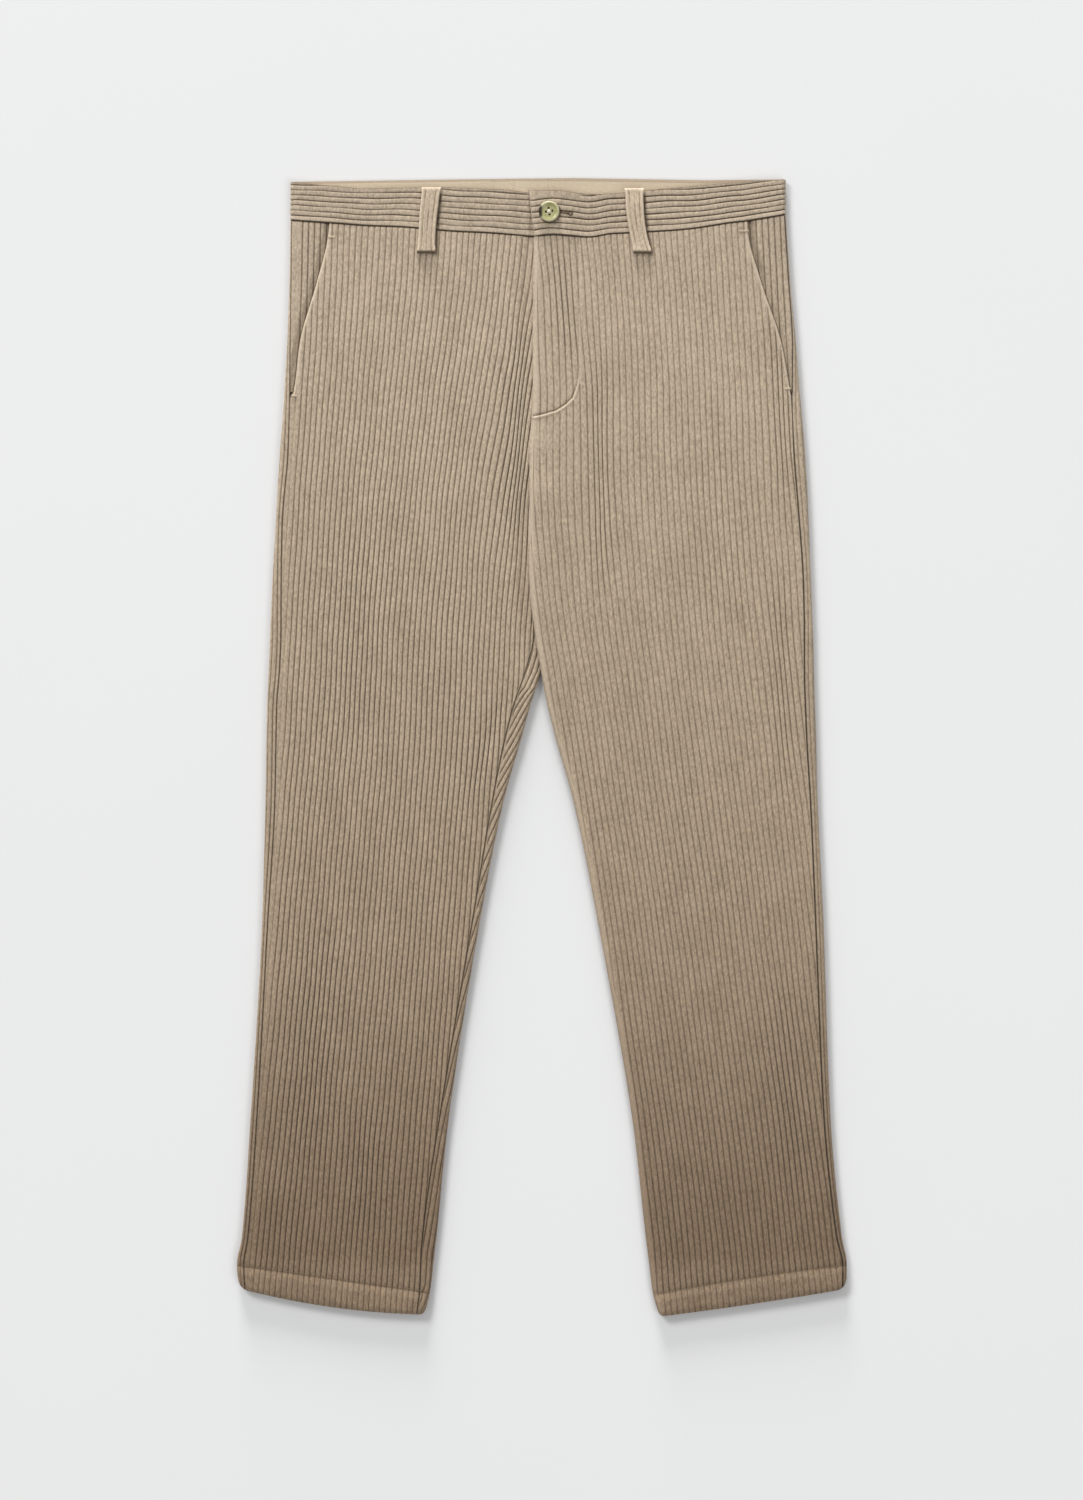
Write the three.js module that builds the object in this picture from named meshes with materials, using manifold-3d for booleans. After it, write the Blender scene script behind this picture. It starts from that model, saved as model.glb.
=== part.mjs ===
// Corduroy trousers laid flat, front up. Millimetres, +Z up, +Y towards the waist.
// The origin is under the middle of the garment, on the surface it lies on.
import * as THREE from "three";
import { mergeVertices } from "three/addons/utils/BufferGeometryUtils.js";
import Module from "manifold-3d";

// Cloth
const CLOTH = 2.2; // wall at the crest of a wale
const GROOVE = 0.7; // depth of the groove between two wales
const SEAM_GAP = 0.3; // between pieces that are sewn or lie on each other
const HALF_GAP = SEAM_GAP / 2;
const LEG_HEIGHT = 7.8; // two layers of cloth with a little air between them
const HEM_HEIGHT = 8.8;
const HEM_WALL = 3.8; // cloth turned up twice
const HEM_STEP = 3; // length over which the turned hem thickens
const HEM_SPREAD = 0.4; // how much wider it lies there

// Where one leg laps the other
const PRESSED_HEIGHT = 4.7; // a leg's edge pressed flat: two walls and a seam gap
const TUCKED_HEIGHT = 5.3; // top of the left front where the fly covers it
const LAP_LIFT = PRESSED_HEIGHT + SEAM_GAP; // underside of the leg that lies on top
const LAP_FULL = 17; // width that is lifted all the way
const LAP_FADE = 14; // width over which it settles again
const PRESS_START = 14; // the lower leg starts to thin this far from the covering edge
const PRESS_FADE = 10;

// Seams at the middle of the back, and the pocket
const CENTRE_BACK = -8; // x of the centre back seam
const FACING_TUCK = 12; // how far the pocket facing reaches in under the front
const FACING_DIP = 6; // width over which it goes down under the mouth

// Waistband, belt loops and button
const BAND_WALL = 2.4;
const BAND_RIBS = 7;
const UNDERLAP_END = 24; // the left band's end under the right band, as x
const UNDERLAP_RISE = 2.5; // its lower edge stays clear of the right front
const BAND_STACK = 4.0; // underside of the left band where the right band lies on it
const BAND_OVERHANG = 2.3; // the right band ends this far past the fly
const BAND_JOIN = 0.33; // share of the side's half turn at which the back band is joined
const INNER_FACING = { wall: 1.0, left: -207, right: 203, inset: 1.2, tuck: 6 };
const LOOP = { width: 15.5, ribs: 3 };
const BUTTON = { x: 7, y: 466.6, thick: 3.2, hole: 0.9, spacing: 1.75, sides: 24 };
const SHANK_RADIUS = 0.9;
const BUTTONHOLE = { length: 17.5, slot: 0.7, eyelet: 1.7 };

// How a wale's section runs from one groove to the next, as shares of the pitch.
const WALE_PROFILE = [
  { at: 0, depth: 1 },
  { at: 0.22, depth: 0 },
  { at: 0.78, depth: 0 },
];
const LEAST_STRIP = 0.4; // a narrower strip beside a seam is left out

// Sections across each leg, from the waist seam to the hem fold. y is taken at the outseam, and
// "drop" is how much lower the inner end lies, "bow" how far the middle sags below that line.
// The other columns are distances outwards from the middle of the garment: edge (outline of the
// leg), seam (outseam, on top), front (outer edge of the front: pocket mouth, then outseam),
// inseam (inner edge of the front), inner (inner outline of the leg), cover (edge of the leg or
// fly that lies on top), wale (first groove) and pitch (from one groove to the next).
const LEFT_LEG = [
  { y: 459, drop: 13.9, edge: 218.4, seam: 217.2, front: 184.4, cover: 6.4, wale: 217.5, pitch: 5.18 },
  { y: 405, drop: 5, edge: 219.4, seam: 217.6, front: 195.5, cover: 7, wale: 218.4, pitch: 5.08 },
  { y: 353, edge: 221.1, seam: 218.2, front: 210, cover: 7.4, wale: 220.2, pitch: 4.93 },
  { y: 310, edge: 223.7, seam: 218.4, front: 215.4, cover: 7.2, wale: 222.6, pitch: 4.8 },
  { y: 305, edge: 224, seam: 218.5, cover: 7.3, wale: 222.9, pitch: 4.79 },
  { y: 255, edge: 227.6, seam: 220.2, inseam: 8.15, cover: 10.2, wale: 226.1, pitch: 4.68 },
  { y: 216, edge: 230.1, seam: 223.7, inseam: 8.15, cover: 10, wale: 228.6, pitch: 4.61 },
  { y: 204, edge: 230.8, seam: 224.6, inseam: 7, inner: 2, cover: 10.6, wale: 229.3, pitch: 4.6 },
  { y: 190, edge: 231.5, seam: 225.3, inseam: 6.3, inner: -2, cover: 11, wale: 230.2, pitch: 4.59 },
  { y: 145, edge: 234, seam: 226, inseam: 7, inner: -5, cover: 10.2, wale: 233.1, pitch: 4.56 },
  { y: 100, edge: 236, seam: 226.2, inseam: 6, inner: -4, cover: 5.4, wale: 236, pitch: 4.54 },
  { y: 66, edge: 237.4, seam: 227.6, inseam: 13.7, inner: 0, cover: 0, wale: 238, pitch: 4.55 },
  { y: 40, edge: 238.5, seam: 229.8, inseam: 22.8, inner: 8.3, wale: 239.6, pitch: 4.56 },
  { y: 5, edge: 239.3, seam: 230.6, inseam: 32, inner: 18, wale: 241.8, pitch: 4.57 },
  { y: -45, edge: 240.1, seam: 231.5, inseam: 42, inner: 32.2, wale: 246.1, pitch: 4.58 },
  { y: -150, edge: 243, seam: 237.6, inseam: 59.5, inner: 53, wale: 256.2, pitch: 4.62 },
  { y: -320, edge: 253.1, seam: 247, inseam: 87.9, inner: 80, wale: 273.2, pitch: 4.7 },
  { y: -426, drop: 12, edge: 260.8, seam: 255, inseam: 104, inner: 92.5, wale: 284.4, pitch: 4.76 },
  { y: -449, drop: 24, edge: 265, seam: 258.5, inseam: 105.5, inner: 96.6, wale: 286.9, pitch: 4.77 },
  { y: -470, drop: 23, bow: 5, edge: 264, seam: 257.5, inseam: 108, inner: 100.1, wale: 289.2, pitch: 4.79 },
];
const RIGHT_LEG = [
  { y: 464, drop: 19, bow: 5, edge: 213.2, seam: 212, front: 179.8, inner: -6.4, wale: 213.2, pitch: 5.26 },
  { y: 405, drop: 5, edge: 217.3, seam: 215.6, front: 192, inner: -7, wale: 216, pitch: 5.22 },
  { y: 353, edge: 222, seam: 218.7, front: 209.2, inner: -7.4, wale: 219, pitch: 5.22 },
  { y: 310, edge: 225.3, seam: 218.6, front: 217.1, inner: -7.2, wale: 221.6, pitch: 5.24 },
  { y: 305, edge: 225.8, seam: 218.2, inner: -7.3, wale: 221.9, pitch: 5.25 },
  { y: 255, edge: 230, seam: 220.3, inner: -10.2, wale: 224.9, pitch: 5.33 },
  { y: 216, edge: 232.3, seam: 223.3, inner: -10, wale: 227.9, pitch: 5.39, lift: 1 },
  { y: 204, edge: 232.8, seam: 224.2, inner: -10.6, wale: 228.9, pitch: 5.4, lift: 1 },
  { y: 190, edge: 233.4, seam: 225.4, inner: -11, wale: 230.1, pitch: 5.42, lift: 1 },
  { y: 145, edge: 235.2, seam: 228.3, inner: -10.2, wale: 233.7, pitch: 5.42, lift: 1 },
  { y: 100, edge: 236.9, seam: 229.2, inner: -5.4, wale: 237.2, pitch: 5.38, lift: 1 },
  { y: 66, edge: 237.7, seam: 229.2, inner: 0, wale: 240.4, pitch: 5.32, lift: 1 },
  { y: 40, edge: 238.5, seam: 230, inner: 4.8, wale: 242.9, pitch: 5.28, lift: 0.6 },
  { y: 5, edge: 239.6, seam: 231.4, inner: 13.6, wale: 246.5, pitch: 5.23, lift: 0.15 },
  { y: -45, edge: 241, seam: 234.5, inner: 27.8, wale: 251.9, pitch: 5.18 },
  { y: -150, edge: 246, seam: 239, inner: 49.1, wale: 264.1, pitch: 5.08 },
  { y: -320, edge: 252.1, seam: 246.2, inner: 79, wale: 285.7, pitch: 5.03 },
  { y: -426, drop: 12, edge: 262.1, seam: 257.4, inner: 92.7, wale: 299, pitch: 5 },
  { y: -449, drop: 26, bow: -2, edge: 266.2, seam: 262.5, inner: 97.4, wale: 301.9, pitch: 5 },
  { y: -470.5, drop: 24.5, bow: 1, edge: 266.2, seam: 262.5, inner: 101.8, wale: 304.5, pitch: 5 },
];
const POCKET_FOOT = 3; // index of the section where the pocket mouth ends
const CROTCH = 216; // y where the legs start to turn under
const TURN_LENGTH = 26; // the turn is complete this far below it
const UNCOVERED = -20; // "cover" of a section that nothing lies on
const TUCKED_EDGE = -5; // inner edge of the left front under the fly
const WALES = { left: 53, right: 47 };
const BACK_DROP = { left: 3, right: 8 }; // the back waist seam falls less than the front one

// Soft folds pressed into the fronts, as lines from one end to the other.
const FOLDS = [
  { fromX: -15, fromY: 405, toX: -24, toY: 150, width: 9, height: -0.4 },
  { fromX: 44, fromY: 345, toX: 50, toY: 110, width: 8, height: -0.4 },
  { fromX: 204, fromY: 425, toX: 214, toY: 240, width: 8, height: -0.35 },
  { fromX: -16, fromY: 62, toX: -52, toY: -40, width: 6, height: 0.4 },
  { fromX: -30, fromY: 60, toX: -66, toY: -60, width: 6, height: -0.3 },
  { fromX: 24, fromY: 40, toX: 60, toY: -110, width: 9, height: 0.3 },
];

// Where the front bands rise onto each other at the closing: start and length, outwards.
const BAND_RISE = {
  left: { from: 15, over: 13, layers: 1 },
  right: { from: 27, over: 14, layers: 2 },
};
// Distances outwards at which the front bands have a section, between the side and the closing.
const BAND_SECTIONS = {
  left: [194, 157, 120, 87, 58, 30, 24, 20, 15, 0],
  right: [186, 160, 137, 114, 90, 64, 48, 41, 36, 32, 27, 17, 5],
};
// A belt loop's section along its length: heights of its underside and top off the band.
const LOOP_PROFILE = [
  { run: 0, under: 0, over: 1.5 },
  { run: 0.03, under: 0, over: 2 },
  { run: 0.3, under: 0.5, over: 2.5 },
  { run: 0.7, under: 0.5, over: 2.8 },
  { run: 0.86, under: 0.25, over: 3.4 },
  { run: 0.95, under: 0, over: 4.2 },
  { run: 0.99, under: 0, over: 3.3 },
  { run: 1, under: 0, over: 2.2 },
];
// The button's turned section, from the middle of its underside round to the middle of its dish.
const BUTTON_PROFILE = [
  { out: 0, up: 0 },
  { out: 6.8, up: 0 },
  { out: 8.5, up: 0.7 },
  { out: 9, up: 1.6 },
  { out: 8.6, up: 2.7 },
  { out: 7.6, up: 3.2 },
  { out: 6.2, up: 2.9 },
  { out: 5.6, up: 2.2 },
  { out: 0, up: 2 },
];

// The waistband's upper edge on the front and on the back, by x.
const FRONT_TOP = [
  { x: -218.4, y: 492.8 },
  { x: -195, y: 490.6 },
  { x: -157, y: 486.9 },
  { x: -87, y: 488.4 },
  { x: -30, y: 486 },
  { x: -9.5, y: 483.6 },
  { x: 24, y: 482.6 },
];
const FRONT_TOP_RIGHT = [
  { x: -8.7, y: 485.4 },
  { x: 17, y: 485.4 },
  { x: 33, y: 482.9 },
  { x: 48, y: 482 },
  { x: 64, y: 482.9 },
  { x: 114, y: 487.5 },
  { x: 160, y: 491.6 },
  { x: 213.2, y: 495.2 },
];
const BACK_TOP = [
  { x: -218.4, y: 493.2 },
  { x: -57, y: 495.6 },
  { x: 29, y: 496.5 },
  { x: 144, y: 494.6 },
  { x: 213.2, y: 495.4 },
];
const LOOPS = [
  { name: "belt_loop_left", topX: -94.8, topY: 488.6, footX: -99.8, footY: 431 },
  { name: "belt_loop_right", topX: 81.1, topY: 485.2, footX: 88.6, footY: 431.4 },
];

const COLOURS = {
  front: 0xa8957f,
  back: 0xa08d77,
  facing: 0xb4a38f,
  band: 0xa89783,
  lining: 0xcebfa9,
  loop: 0xb9a88f,
  button: 0xd9d3a4,
};

const { asin, acos, cos, sin, min, max, PI } = Math;
const mix = (a, b, t) => a + (b - a) * t;
const clamp = (v, low, high) => min(high, max(low, v));
const smooth = (t) => {
  const c = clamp(t, 0, 1);
  return c * c * (3 - 2 * c);
};
const degrees = (d) => (d * PI) / 180;

// The value of a table's column at a place between its rows.
function along(table, key, column, at) {
  let i = 0;
  while (i < table.length - 2 && at > table[i + 1][key]) i += 1;
  const t = clamp((at - table[i][key]) / (table[i + 1][key] - table[i][key]), 0, 1);
  return mix(table[i][column], table[i + 1][column], t);
}

function cumulative(line) {
  const sums = [0];
  for (let i = 1; i < line.length; i += 1) sums.push(sums[i - 1] + line[i].distanceTo(line[i - 1]));
  return sums.map((s) => s / (sums.at(-1) || 1));
}

// A closed wall between an outer and an inner grid of points. The grids may differ in fineness.
function closedWall(outer, inner) {
  const corners = [];
  const put = (triangle) => corners.push(...triangle);
  for (const [grid, turned] of [[outer, false], [inner, true]]) {
    for (let i = 0; i + 1 < grid.length; i += 1) {
      for (let j = 0; j + 1 < grid[i].length; j += 1) {
        const [a, b] = [grid[i][j], grid[i + 1][j]];
        const [c, d] = [grid[i + 1][j + 1], grid[i][j + 1]];
        put(turned ? [a, c, b] : [a, b, c]);
        put(turned ? [a, d, c] : [a, c, d]);
      }
    }
  }
  const sides = (grid) => [
    grid.map((row) => row[0]),
    grid.at(-1),
    grid.map((row) => row.at(-1)).reverse(),
    [...grid[0]].reverse(),
  ];
  const insideEdges = sides(inner);
  sides(outer).forEach((lineA, side) => {
    const lineB = insideEdges[side];
    const [sumA, sumB] = [cumulative(lineA), cumulative(lineB)];
    let [i, j] = [0, 0];
    while (i + 1 < lineA.length || j + 1 < lineB.length) {
      const nearer = i + 1 < lineA.length && sumA[i + 1] <= sumB[j + 1];
      const stepA = j + 1 >= lineB.length || nearer;
      if (stepA) {
        put([lineA[i + 1], lineA[i], lineB[j]]);
        i += 1;
      } else {
        put([lineA[i], lineB[j], lineB[j + 1]]);
        j += 1;
      }
    }
  });
  return geometryOf(corners);
}

// Joins equal points, drops triangles that have shrunk to a line and turns the faces outwards.
function geometryOf(corners) {
  const loose = new THREE.BufferGeometry().setFromPoints(corners);
  const joined = mergeVertices(loose, 1e-3);
  const position = joined.getAttribute("position");
  const ids = joined.index.array;
  const kept = [];
  let volume = 0;
  const point = (i) => new THREE.Vector3().fromBufferAttribute(position, i);
  for (let i = 0; i < ids.length; i += 3) {
    const [a, b, c] = [ids[i], ids[i + 1], ids[i + 2]];
    if (a === b || b === c || a === c) continue;
    kept.push([a, b, c]);
    volume += point(a).dot(point(b).cross(point(c)));
  }
  const turned = volume < 0 ? kept.map(([a, b, c]) => [a, c, b]) : kept;
  joined.setIndex(turned.flat());
  return joined;
}

// Fills in the columns that a row may leave out, and adds the two rows of the turned hem.
function sectionsOf(table) {
  const rows = table.map((row) => {
    const full = { drop: 0, bow: 0, lift: 0, cover: UNCOVERED, inseam: TUCKED_EDGE, ...row };
    full.front = row.front ?? row.seam;
    full.turn = clamp((CROTCH - row.y) / TURN_LENGTH, 0, 1);
    full.high = LEG_HEIGHT;
    full.wall = CLOTH;
    return full;
  });
  const fold = rows.at(-1);
  const stitched = rows.at(-2);
  const turnUp = { ...stitched, y: stitched.y - HEM_STEP, edge: stitched.edge + HEM_SPREAD };
  for (const row of [turnUp, fold]) Object.assign(row, { high: HEM_HEIGHT, wall: HEM_WALL });
  rows.splice(rows.length - 1, 0, turnUp);
  return rows;
}

const foldsAt = (x, y) =>
  FOLDS.reduce((sum, fold) => {
    const run = (y - fold.fromY) / (fold.toY - fold.fromY);
    const across = (x - mix(fold.fromX, fold.toX, run)) / fold.width;
    const ends = smooth(run * 4) * smooth((1 - run) * 4);
    return sum + fold.height * ends * smooth(1 - Math.abs(across));
  }, 0);

// One leg: the surfaces of its section, in distances outwards from the middle of the garment.
function makeLeg(side, sign, table) {
  const rows = sectionsOf(table);
  const lapped = (row, w) => smooth((row.inner + LAP_FULL + LAP_FADE - w) / LAP_FADE) * row.lift;
  const leg = { side, sign, rows };
  leg.bottom = (row, w) => (side === "right" ? LAP_LIFT * lapped(row, w) : 0);
  leg.top = (row, w) => {
    const folds = foldsAt(sign * w, row.y);
    const lifted = LAP_LIFT + PRESSED_HEIGHT - row.high;
    if (side === "right") return row.high + folds + lifted * lapped(row, w);
    const low = row.y <= CROTCH ? PRESSED_HEIGHT : TUCKED_HEIGHT;
    const press = smooth((row.cover + PRESS_START - w) / PRESS_FADE);
    return mix(row.high + folds, low, press);
  };
  leg.outerCap = (row, angle, inset) => {
    const radius = row.high / 2;
    const centre = row.edge - radius;
    return [centre + (radius - inset) * cos(angle), radius + (radius - inset) * sin(angle)];
  };
  leg.innerRadius = (row) => (leg.top(row, row.inner) - leg.bottom(row, row.inner)) / 2;
  leg.innerCap = (row, angle, inset) => {
    const radius = leg.innerRadius(row);
    const middle = leg.bottom(row, row.inner) + radius;
    return [row.inner + radius - (radius - inset) * cos(angle), middle + (radius - inset) * sin(angle)];
  };
  leg.onTop = (row, w, inset) => {
    const radius = row.high / 2;
    const past = (w - row.edge + radius) / radius;
    if (past > 0) return leg.outerCap(row, acos(min(1, past)), inset);
    return [w, leg.top(row, w) - inset];
  };
  leg.onBottom = (row, w, inset) => [w, leg.bottom(row, w) + inset];
  // The height on the page of a point of a section: the waist seam and the hem slant and bow.
  leg.place = (row, [w, z], drop = row.drop) => {
    const inner = row.inner ?? -CENTRE_BACK;
    const t = (row.edge - w) / (row.edge - inner);
    const sag = row.bow * 4 * t * (1 - t);
    return new THREE.Vector3(sign * w, row.y - drop * t - sag, z);
  };
  return leg;
}

// The columns that follow the wales over a piece, from its outer side to its inner side.
function waleColumns(row, count, outer, inner) {
  const columns = [{ w: outer, depth: 1 }];
  for (let k = 0; k < count; k += 1) {
    for (const { at, depth } of WALE_PROFILE) {
      const w = row.wale - (k + at) * row.pitch;
      if (w > outer - LEAST_STRIP) columns.push({ w: outer, depth: 1 });
      else if (w < inner + LEAST_STRIP) columns.push({ w: inner, depth: 1 });
      else columns.push({ w, depth });
    }
  }
  columns.push({ w: inner, depth: 1 });
  return columns;
}

// Stations of the right front's inner edge: straight at the fly, turned under along the leg.
function turnedEdge(leg, row, inset) {
  const radius = leg.innerRadius(row);
  const last = PI / 2 - asin(HALF_GAP / radius);
  return [1 / 3, 2 / 3, 1].map((share) => {
    const angle = share * last;
    const flat = [row.inner + radius * (1 - share), leg.top(row, row.inner + radius) - inset];
    const round = leg.innerCap(row, PI / 2 - angle, inset);
    return [mix(flat[0], round[0], row.turn), mix(flat[1], round[1], row.turn)];
  });
}

function frontPiece(leg) {
  const left = leg.side === "left";
  const rows = leg.rows;
  const limits = (row) => {
    const outer = row.front - (row.front === row.seam ? HALF_GAP : 0);
    const inner = left ? row.inseam + (row.turn ? HALF_GAP : 0) : row.inner + leg.innerRadius(row);
    return [outer, inner];
  };
  const outerRow = (row) => {
    const [outer, inner] = limits(row);
    const columns = waleColumns(row, WALES[leg.side], outer, inner);
    if (!left) columns.at(-1).depth = 0;
    const points = columns.map(({ w, depth }) =>
      leg.onTop(row, w, GROOVE * (!left && w === inner ? 0 : depth)),
    );
    return left ? points : [...points, ...turnedEdge(leg, row, 0)];
  };
  const innerRow = (row) => {
    const [outer, inner] = limits(row);
    const zone = left ? max(row.cover, inner) + PRESS_START + 1 : inner + LAP_FULL + LAP_FADE;
    const steps = left ? [0, 3, 6, 9, 12] : [0, 4, 7, 10, 14];
    const plain = [0, 1 / 3, 2 / 3].map((share) => mix(outer, zone, share));
    const shaped = steps.map((step) => max(inner, zone - step));
    const points = [...plain, ...shaped, inner].map((w) => leg.onTop(row, w, row.wall));
    return left ? points : [...points, ...turnedEdge(leg, row, row.wall)];
  };
  const lay = (row, points) => points.map((p) => leg.place(row, p));
  return closedWall(
    rows.map((row) => lay(row, outerRow(row))),
    rows.map((row) => lay(row, innerRow(row))),
  );
}

// The back lies underneath, turns up round the leg's edges and ends in a lip on top at each seam.
function backPiece(leg) {
  const left = leg.side === "left";
  const centreEnd = left ? -CENTRE_BACK + HALF_GAP : CENTRE_BACK + HALF_GAP;
  const lipRibs = [
    { at: 0, depth: 1 },
    { at: 0.14, depth: 0 },
    { at: 0.44, depth: 0 },
    { at: 0.56, depth: 1 },
    { at: 0.68, depth: 0 },
  ];
  const stations = (row, wall, ribbed) => {
    const depthOf = (rib) => (ribbed ? rib.depth * GROOVE : wall);
    const radius = row.high / 2;
    const capStart = row.edge - radius;
    const lipEnd = row.seam + HALF_GAP;
    const endAngle = lipEnd > capStart ? acos((lipEnd - capStart) / radius) : PI / 2;
    const inset = ribbed ? 0 : wall;
    const points = lipRibs.map((rib) => {
      if (lipEnd > capStart) return leg.onTop(row, lipEnd, inset);
      return leg.onTop(row, mix(lipEnd, capStart, rib.at), depthOf(rib));
    });
    for (const share of [0, 0.25, 0.5, 0.75, 1]) {
      points.push(leg.outerCap(row, mix(endAngle, -PI / 2, share), inset));
    }
    const turned = row.turn > 0;
    const innerRadius = turned ? leg.innerRadius(row) : 0;
    const flatEnd = turned ? row.inner + innerRadius : centreEnd;
    const zone = left ? mix(capStart, flatEnd, 0.6) : flatEnd + LAP_FULL + LAP_FADE;
    const steps = left ? [0] : [0, 4, 7, 10, 14];
    points.push(leg.onBottom(row, mix(capStart, zone, 0.5), inset));
    for (const step of steps) points.push(leg.onBottom(row, zone - step, inset));
    points.push(leg.onBottom(row, flatEnd, inset));
    const lipTurns = left ? [0.25, 0.5, 0.75, 1] : [0.5, 1];
    const gapAngle = turned && !left ? asin(HALF_GAP / innerRadius) : 0;
    for (const step of lipTurns) {
      if (!turned) points.push(leg.onBottom(row, flatEnd, inset));
      else {
        const sweep = left ? PI * row.turn : PI / 2 - gapAngle;
        points.push(leg.innerCap(row, -PI / 2 + sweep * step, inset));
      }
    }
    if (left) points.push(...inseamLip(leg, row, wall, ribbed));
    return points;
  };
  const lay = (row, points, i) => {
    const drop = i === 0 ? BACK_DROP[leg.side] : row.drop;
    return points.map((p) => leg.place(row, p, drop));
  };
  return closedWall(
    leg.rows.map((row, i) => lay(row, stations(row, row.wall, true), i)),
    leg.rows.map((row, i) => lay(row, stations(row, row.wall, false), i)),
  );
}

// The strip of the left back that shows between the leg's inner fold and the inseam.
function inseamLip(leg, row, wall, ribbed) {
  const ribs = [
    { at: 0.3, depth: 0 },
    { at: 0.42, depth: 1 },
    { at: 0.54, depth: 0 },
    { at: 0.88, depth: 0 },
    { at: 1, depth: 1 },
  ];
  return ribs.map(({ at, depth }) => {
    const inset = ribbed ? GROOVE * depth : wall;
    if (row.turn === 0) return leg.onBottom(row, -CENTRE_BACK + HALF_GAP, ribbed ? 0 : wall);
    if (row.turn < 1) return leg.innerCap(row, -PI / 2 + PI * row.turn, ribbed ? 0 : wall);
    const start = row.inner + leg.innerRadius(row);
    return leg.onTop(row, mix(start, row.inseam - HALF_GAP, at), inset);
  });
}

// The pocket facing fills the gap between outseam and mouth and reaches in under the front.
function pocketFacing(leg) {
  const rows = leg.rows.slice(0, POCKET_FOOT + 1);
  const limits = (row) => [row.seam - HALF_GAP, row.front - FACING_TUCK];
  const sunk = (row, [w, z]) => {
    const dip = smooth((row.front + FACING_DIP - w) / (FACING_DIP - 0.5));
    return [w, z - (LEG_HEIGHT - TUCKED_HEIGHT) * dip];
  };
  const level = (row) => ({ ...row, high: LEG_HEIGHT });
  const surface = (row, w, inset) => sunk(row, leg.onTop(level(row), w, inset));
  const dipSteps = (row, outer) =>
    [1, 0.7, 0.4, 0.1].map((share) => min(outer, row.front + FACING_DIP * share));
  const outerRow = (row) => {
    const [outer, inner] = limits(row);
    const shown = waleColumns(row, 9, outer, min(outer, row.front + FACING_DIP));
    const dipping = [...dipSteps(row, outer), inner].map((w) => ({ w, depth: 0 }));
    return [...shown, ...dipping].map(({ w, depth }) => surface(row, w, GROOVE * depth));
  };
  const innerRow = (row) => {
    const [outer, inner] = limits(row);
    return [outer, ...dipSteps(row, outer), inner].map((w) => surface(row, w, CLOTH));
  };
  const lay = (row, points) => points.map((p) => leg.place(row, p));
  return closedWall(
    rows.map((row) => lay(row, outerRow(row))),
    rows.map((row) => lay(row, innerRow(row))),
  );
}

// The lower and upper edge of the waistband at a distance outwards, on the front or the back.
function bandEdges(leg, w, front) {
  const { side, sign } = leg;
  const row = leg.rows[0];
  const frontTop = side === "left" ? FRONT_TOP : FRONT_TOP_RIGHT;
  const rise = side === "left" && front ? UNDERLAP_RISE * smooth((8 - w) / 10) : 0;
  const seam = front ? leg.place(row, [w, 0]) : leg.place({ ...row, bow: 0 }, [w, 0], BACK_DROP[side]);
  return {
    low: seam.y + SEAM_GAP + rise,
    high: along(front ? frontTop : BACK_TOP, "x", "y", sign * w),
  };
}

// Sections of a band round the side's half turn: share 0 is on the underside, 1 on top.
function bandTurn(leg, shares) {
  const row = leg.rows[0];
  const capStart = row.edge - row.high / 2;
  const [back, front] = [bandEdges(leg, capStart, false), bandEdges(leg, capStart, true)];
  return shares.map((share) => ({
    at: (inset) => leg.outerCap(row, mix(-PI / 2, PI / 2, share), inset),
    low: max(back.low, front.low),
    high: mix(back.high, front.high, share),
  }));
}

function bandWall(leg, stations, lines) {
  const pointAt = (station, share, inset) => {
    const [w, z] = station.at(inset);
    return new THREE.Vector3(leg.sign * w, mix(station.low, station.high, share), z);
  };
  const outer = lines.map(({ at, depth }) =>
    stations.map((station) => pointAt(station, at, depth * GROOVE)),
  );
  const inner = [0, 1].map((share) => stations.map((station) => pointAt(station, share, BAND_WALL)));
  return closedWall(outer, inner);
}

// Ribs side by side, from one edge of a strip to the other.
function ribLines(count) {
  const lines = [{ at: 0, depth: 1 }];
  for (let rib = 0; rib < count; rib += 1) {
    lines.push({ at: (rib + 0.2) / count, depth: 0 });
    lines.push({ at: (rib + 0.8) / count, depth: 0 });
    lines.push({ at: (rib + 1) / count, depth: 1 });
  }
  return lines;
}

// The front band, ribbed along its length: from under the side fold to the closing.
function frontBand(leg) {
  const { side } = leg;
  const row = leg.rows[0];
  const { from, over, layers } = BAND_RISE[side];
  const stack = BAND_STACK + layers * BAND_WALL + (layers - 1) * SEAM_GAP;
  const top = (w) => mix(stack, row.high, smooth((w - from) / over));
  const end = side === "left" ? -UNDERLAP_END : row.inner - BAND_OVERHANG;
  const halfJoin = HALF_GAP / (PI * row.high / 2);
  const stations = bandTurn(leg, [BAND_JOIN + halfJoin, 0.55, 0.78]);
  for (const w of [row.edge - row.high / 2, ...BAND_SECTIONS[side], end]) {
    stations.push({ at: (inset) => [w, top(w) - inset], ...bandEdges(leg, w, true) });
  }
  return bandWall(leg, stations, ribLines(BAND_RIBS));
}

// The back band lies on its plain outer side, from the centre back seam to just under the fold.
function backBand(leg) {
  const row = leg.rows[0];
  const start = leg.side === "left" ? -CENTRE_BACK + HALF_GAP : CENTRE_BACK + HALF_GAP;
  const halfJoin = HALF_GAP / (PI * row.high / 2);
  const flat = [0, 0.3, 0.65, 1].map((share) => mix(start, row.edge - row.high / 2, share));
  const stations = flat.map((w) => ({ at: (inset) => [w, inset], ...bandEdges(leg, w, false) }));
  stations.push(...bandTurn(leg, [BAND_JOIN / 2, BAND_JOIN - halfJoin]));
  return bandWall(leg, stations, [{ at: 0, depth: 0 }, { at: 1, depth: 0 }]);
}

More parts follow.
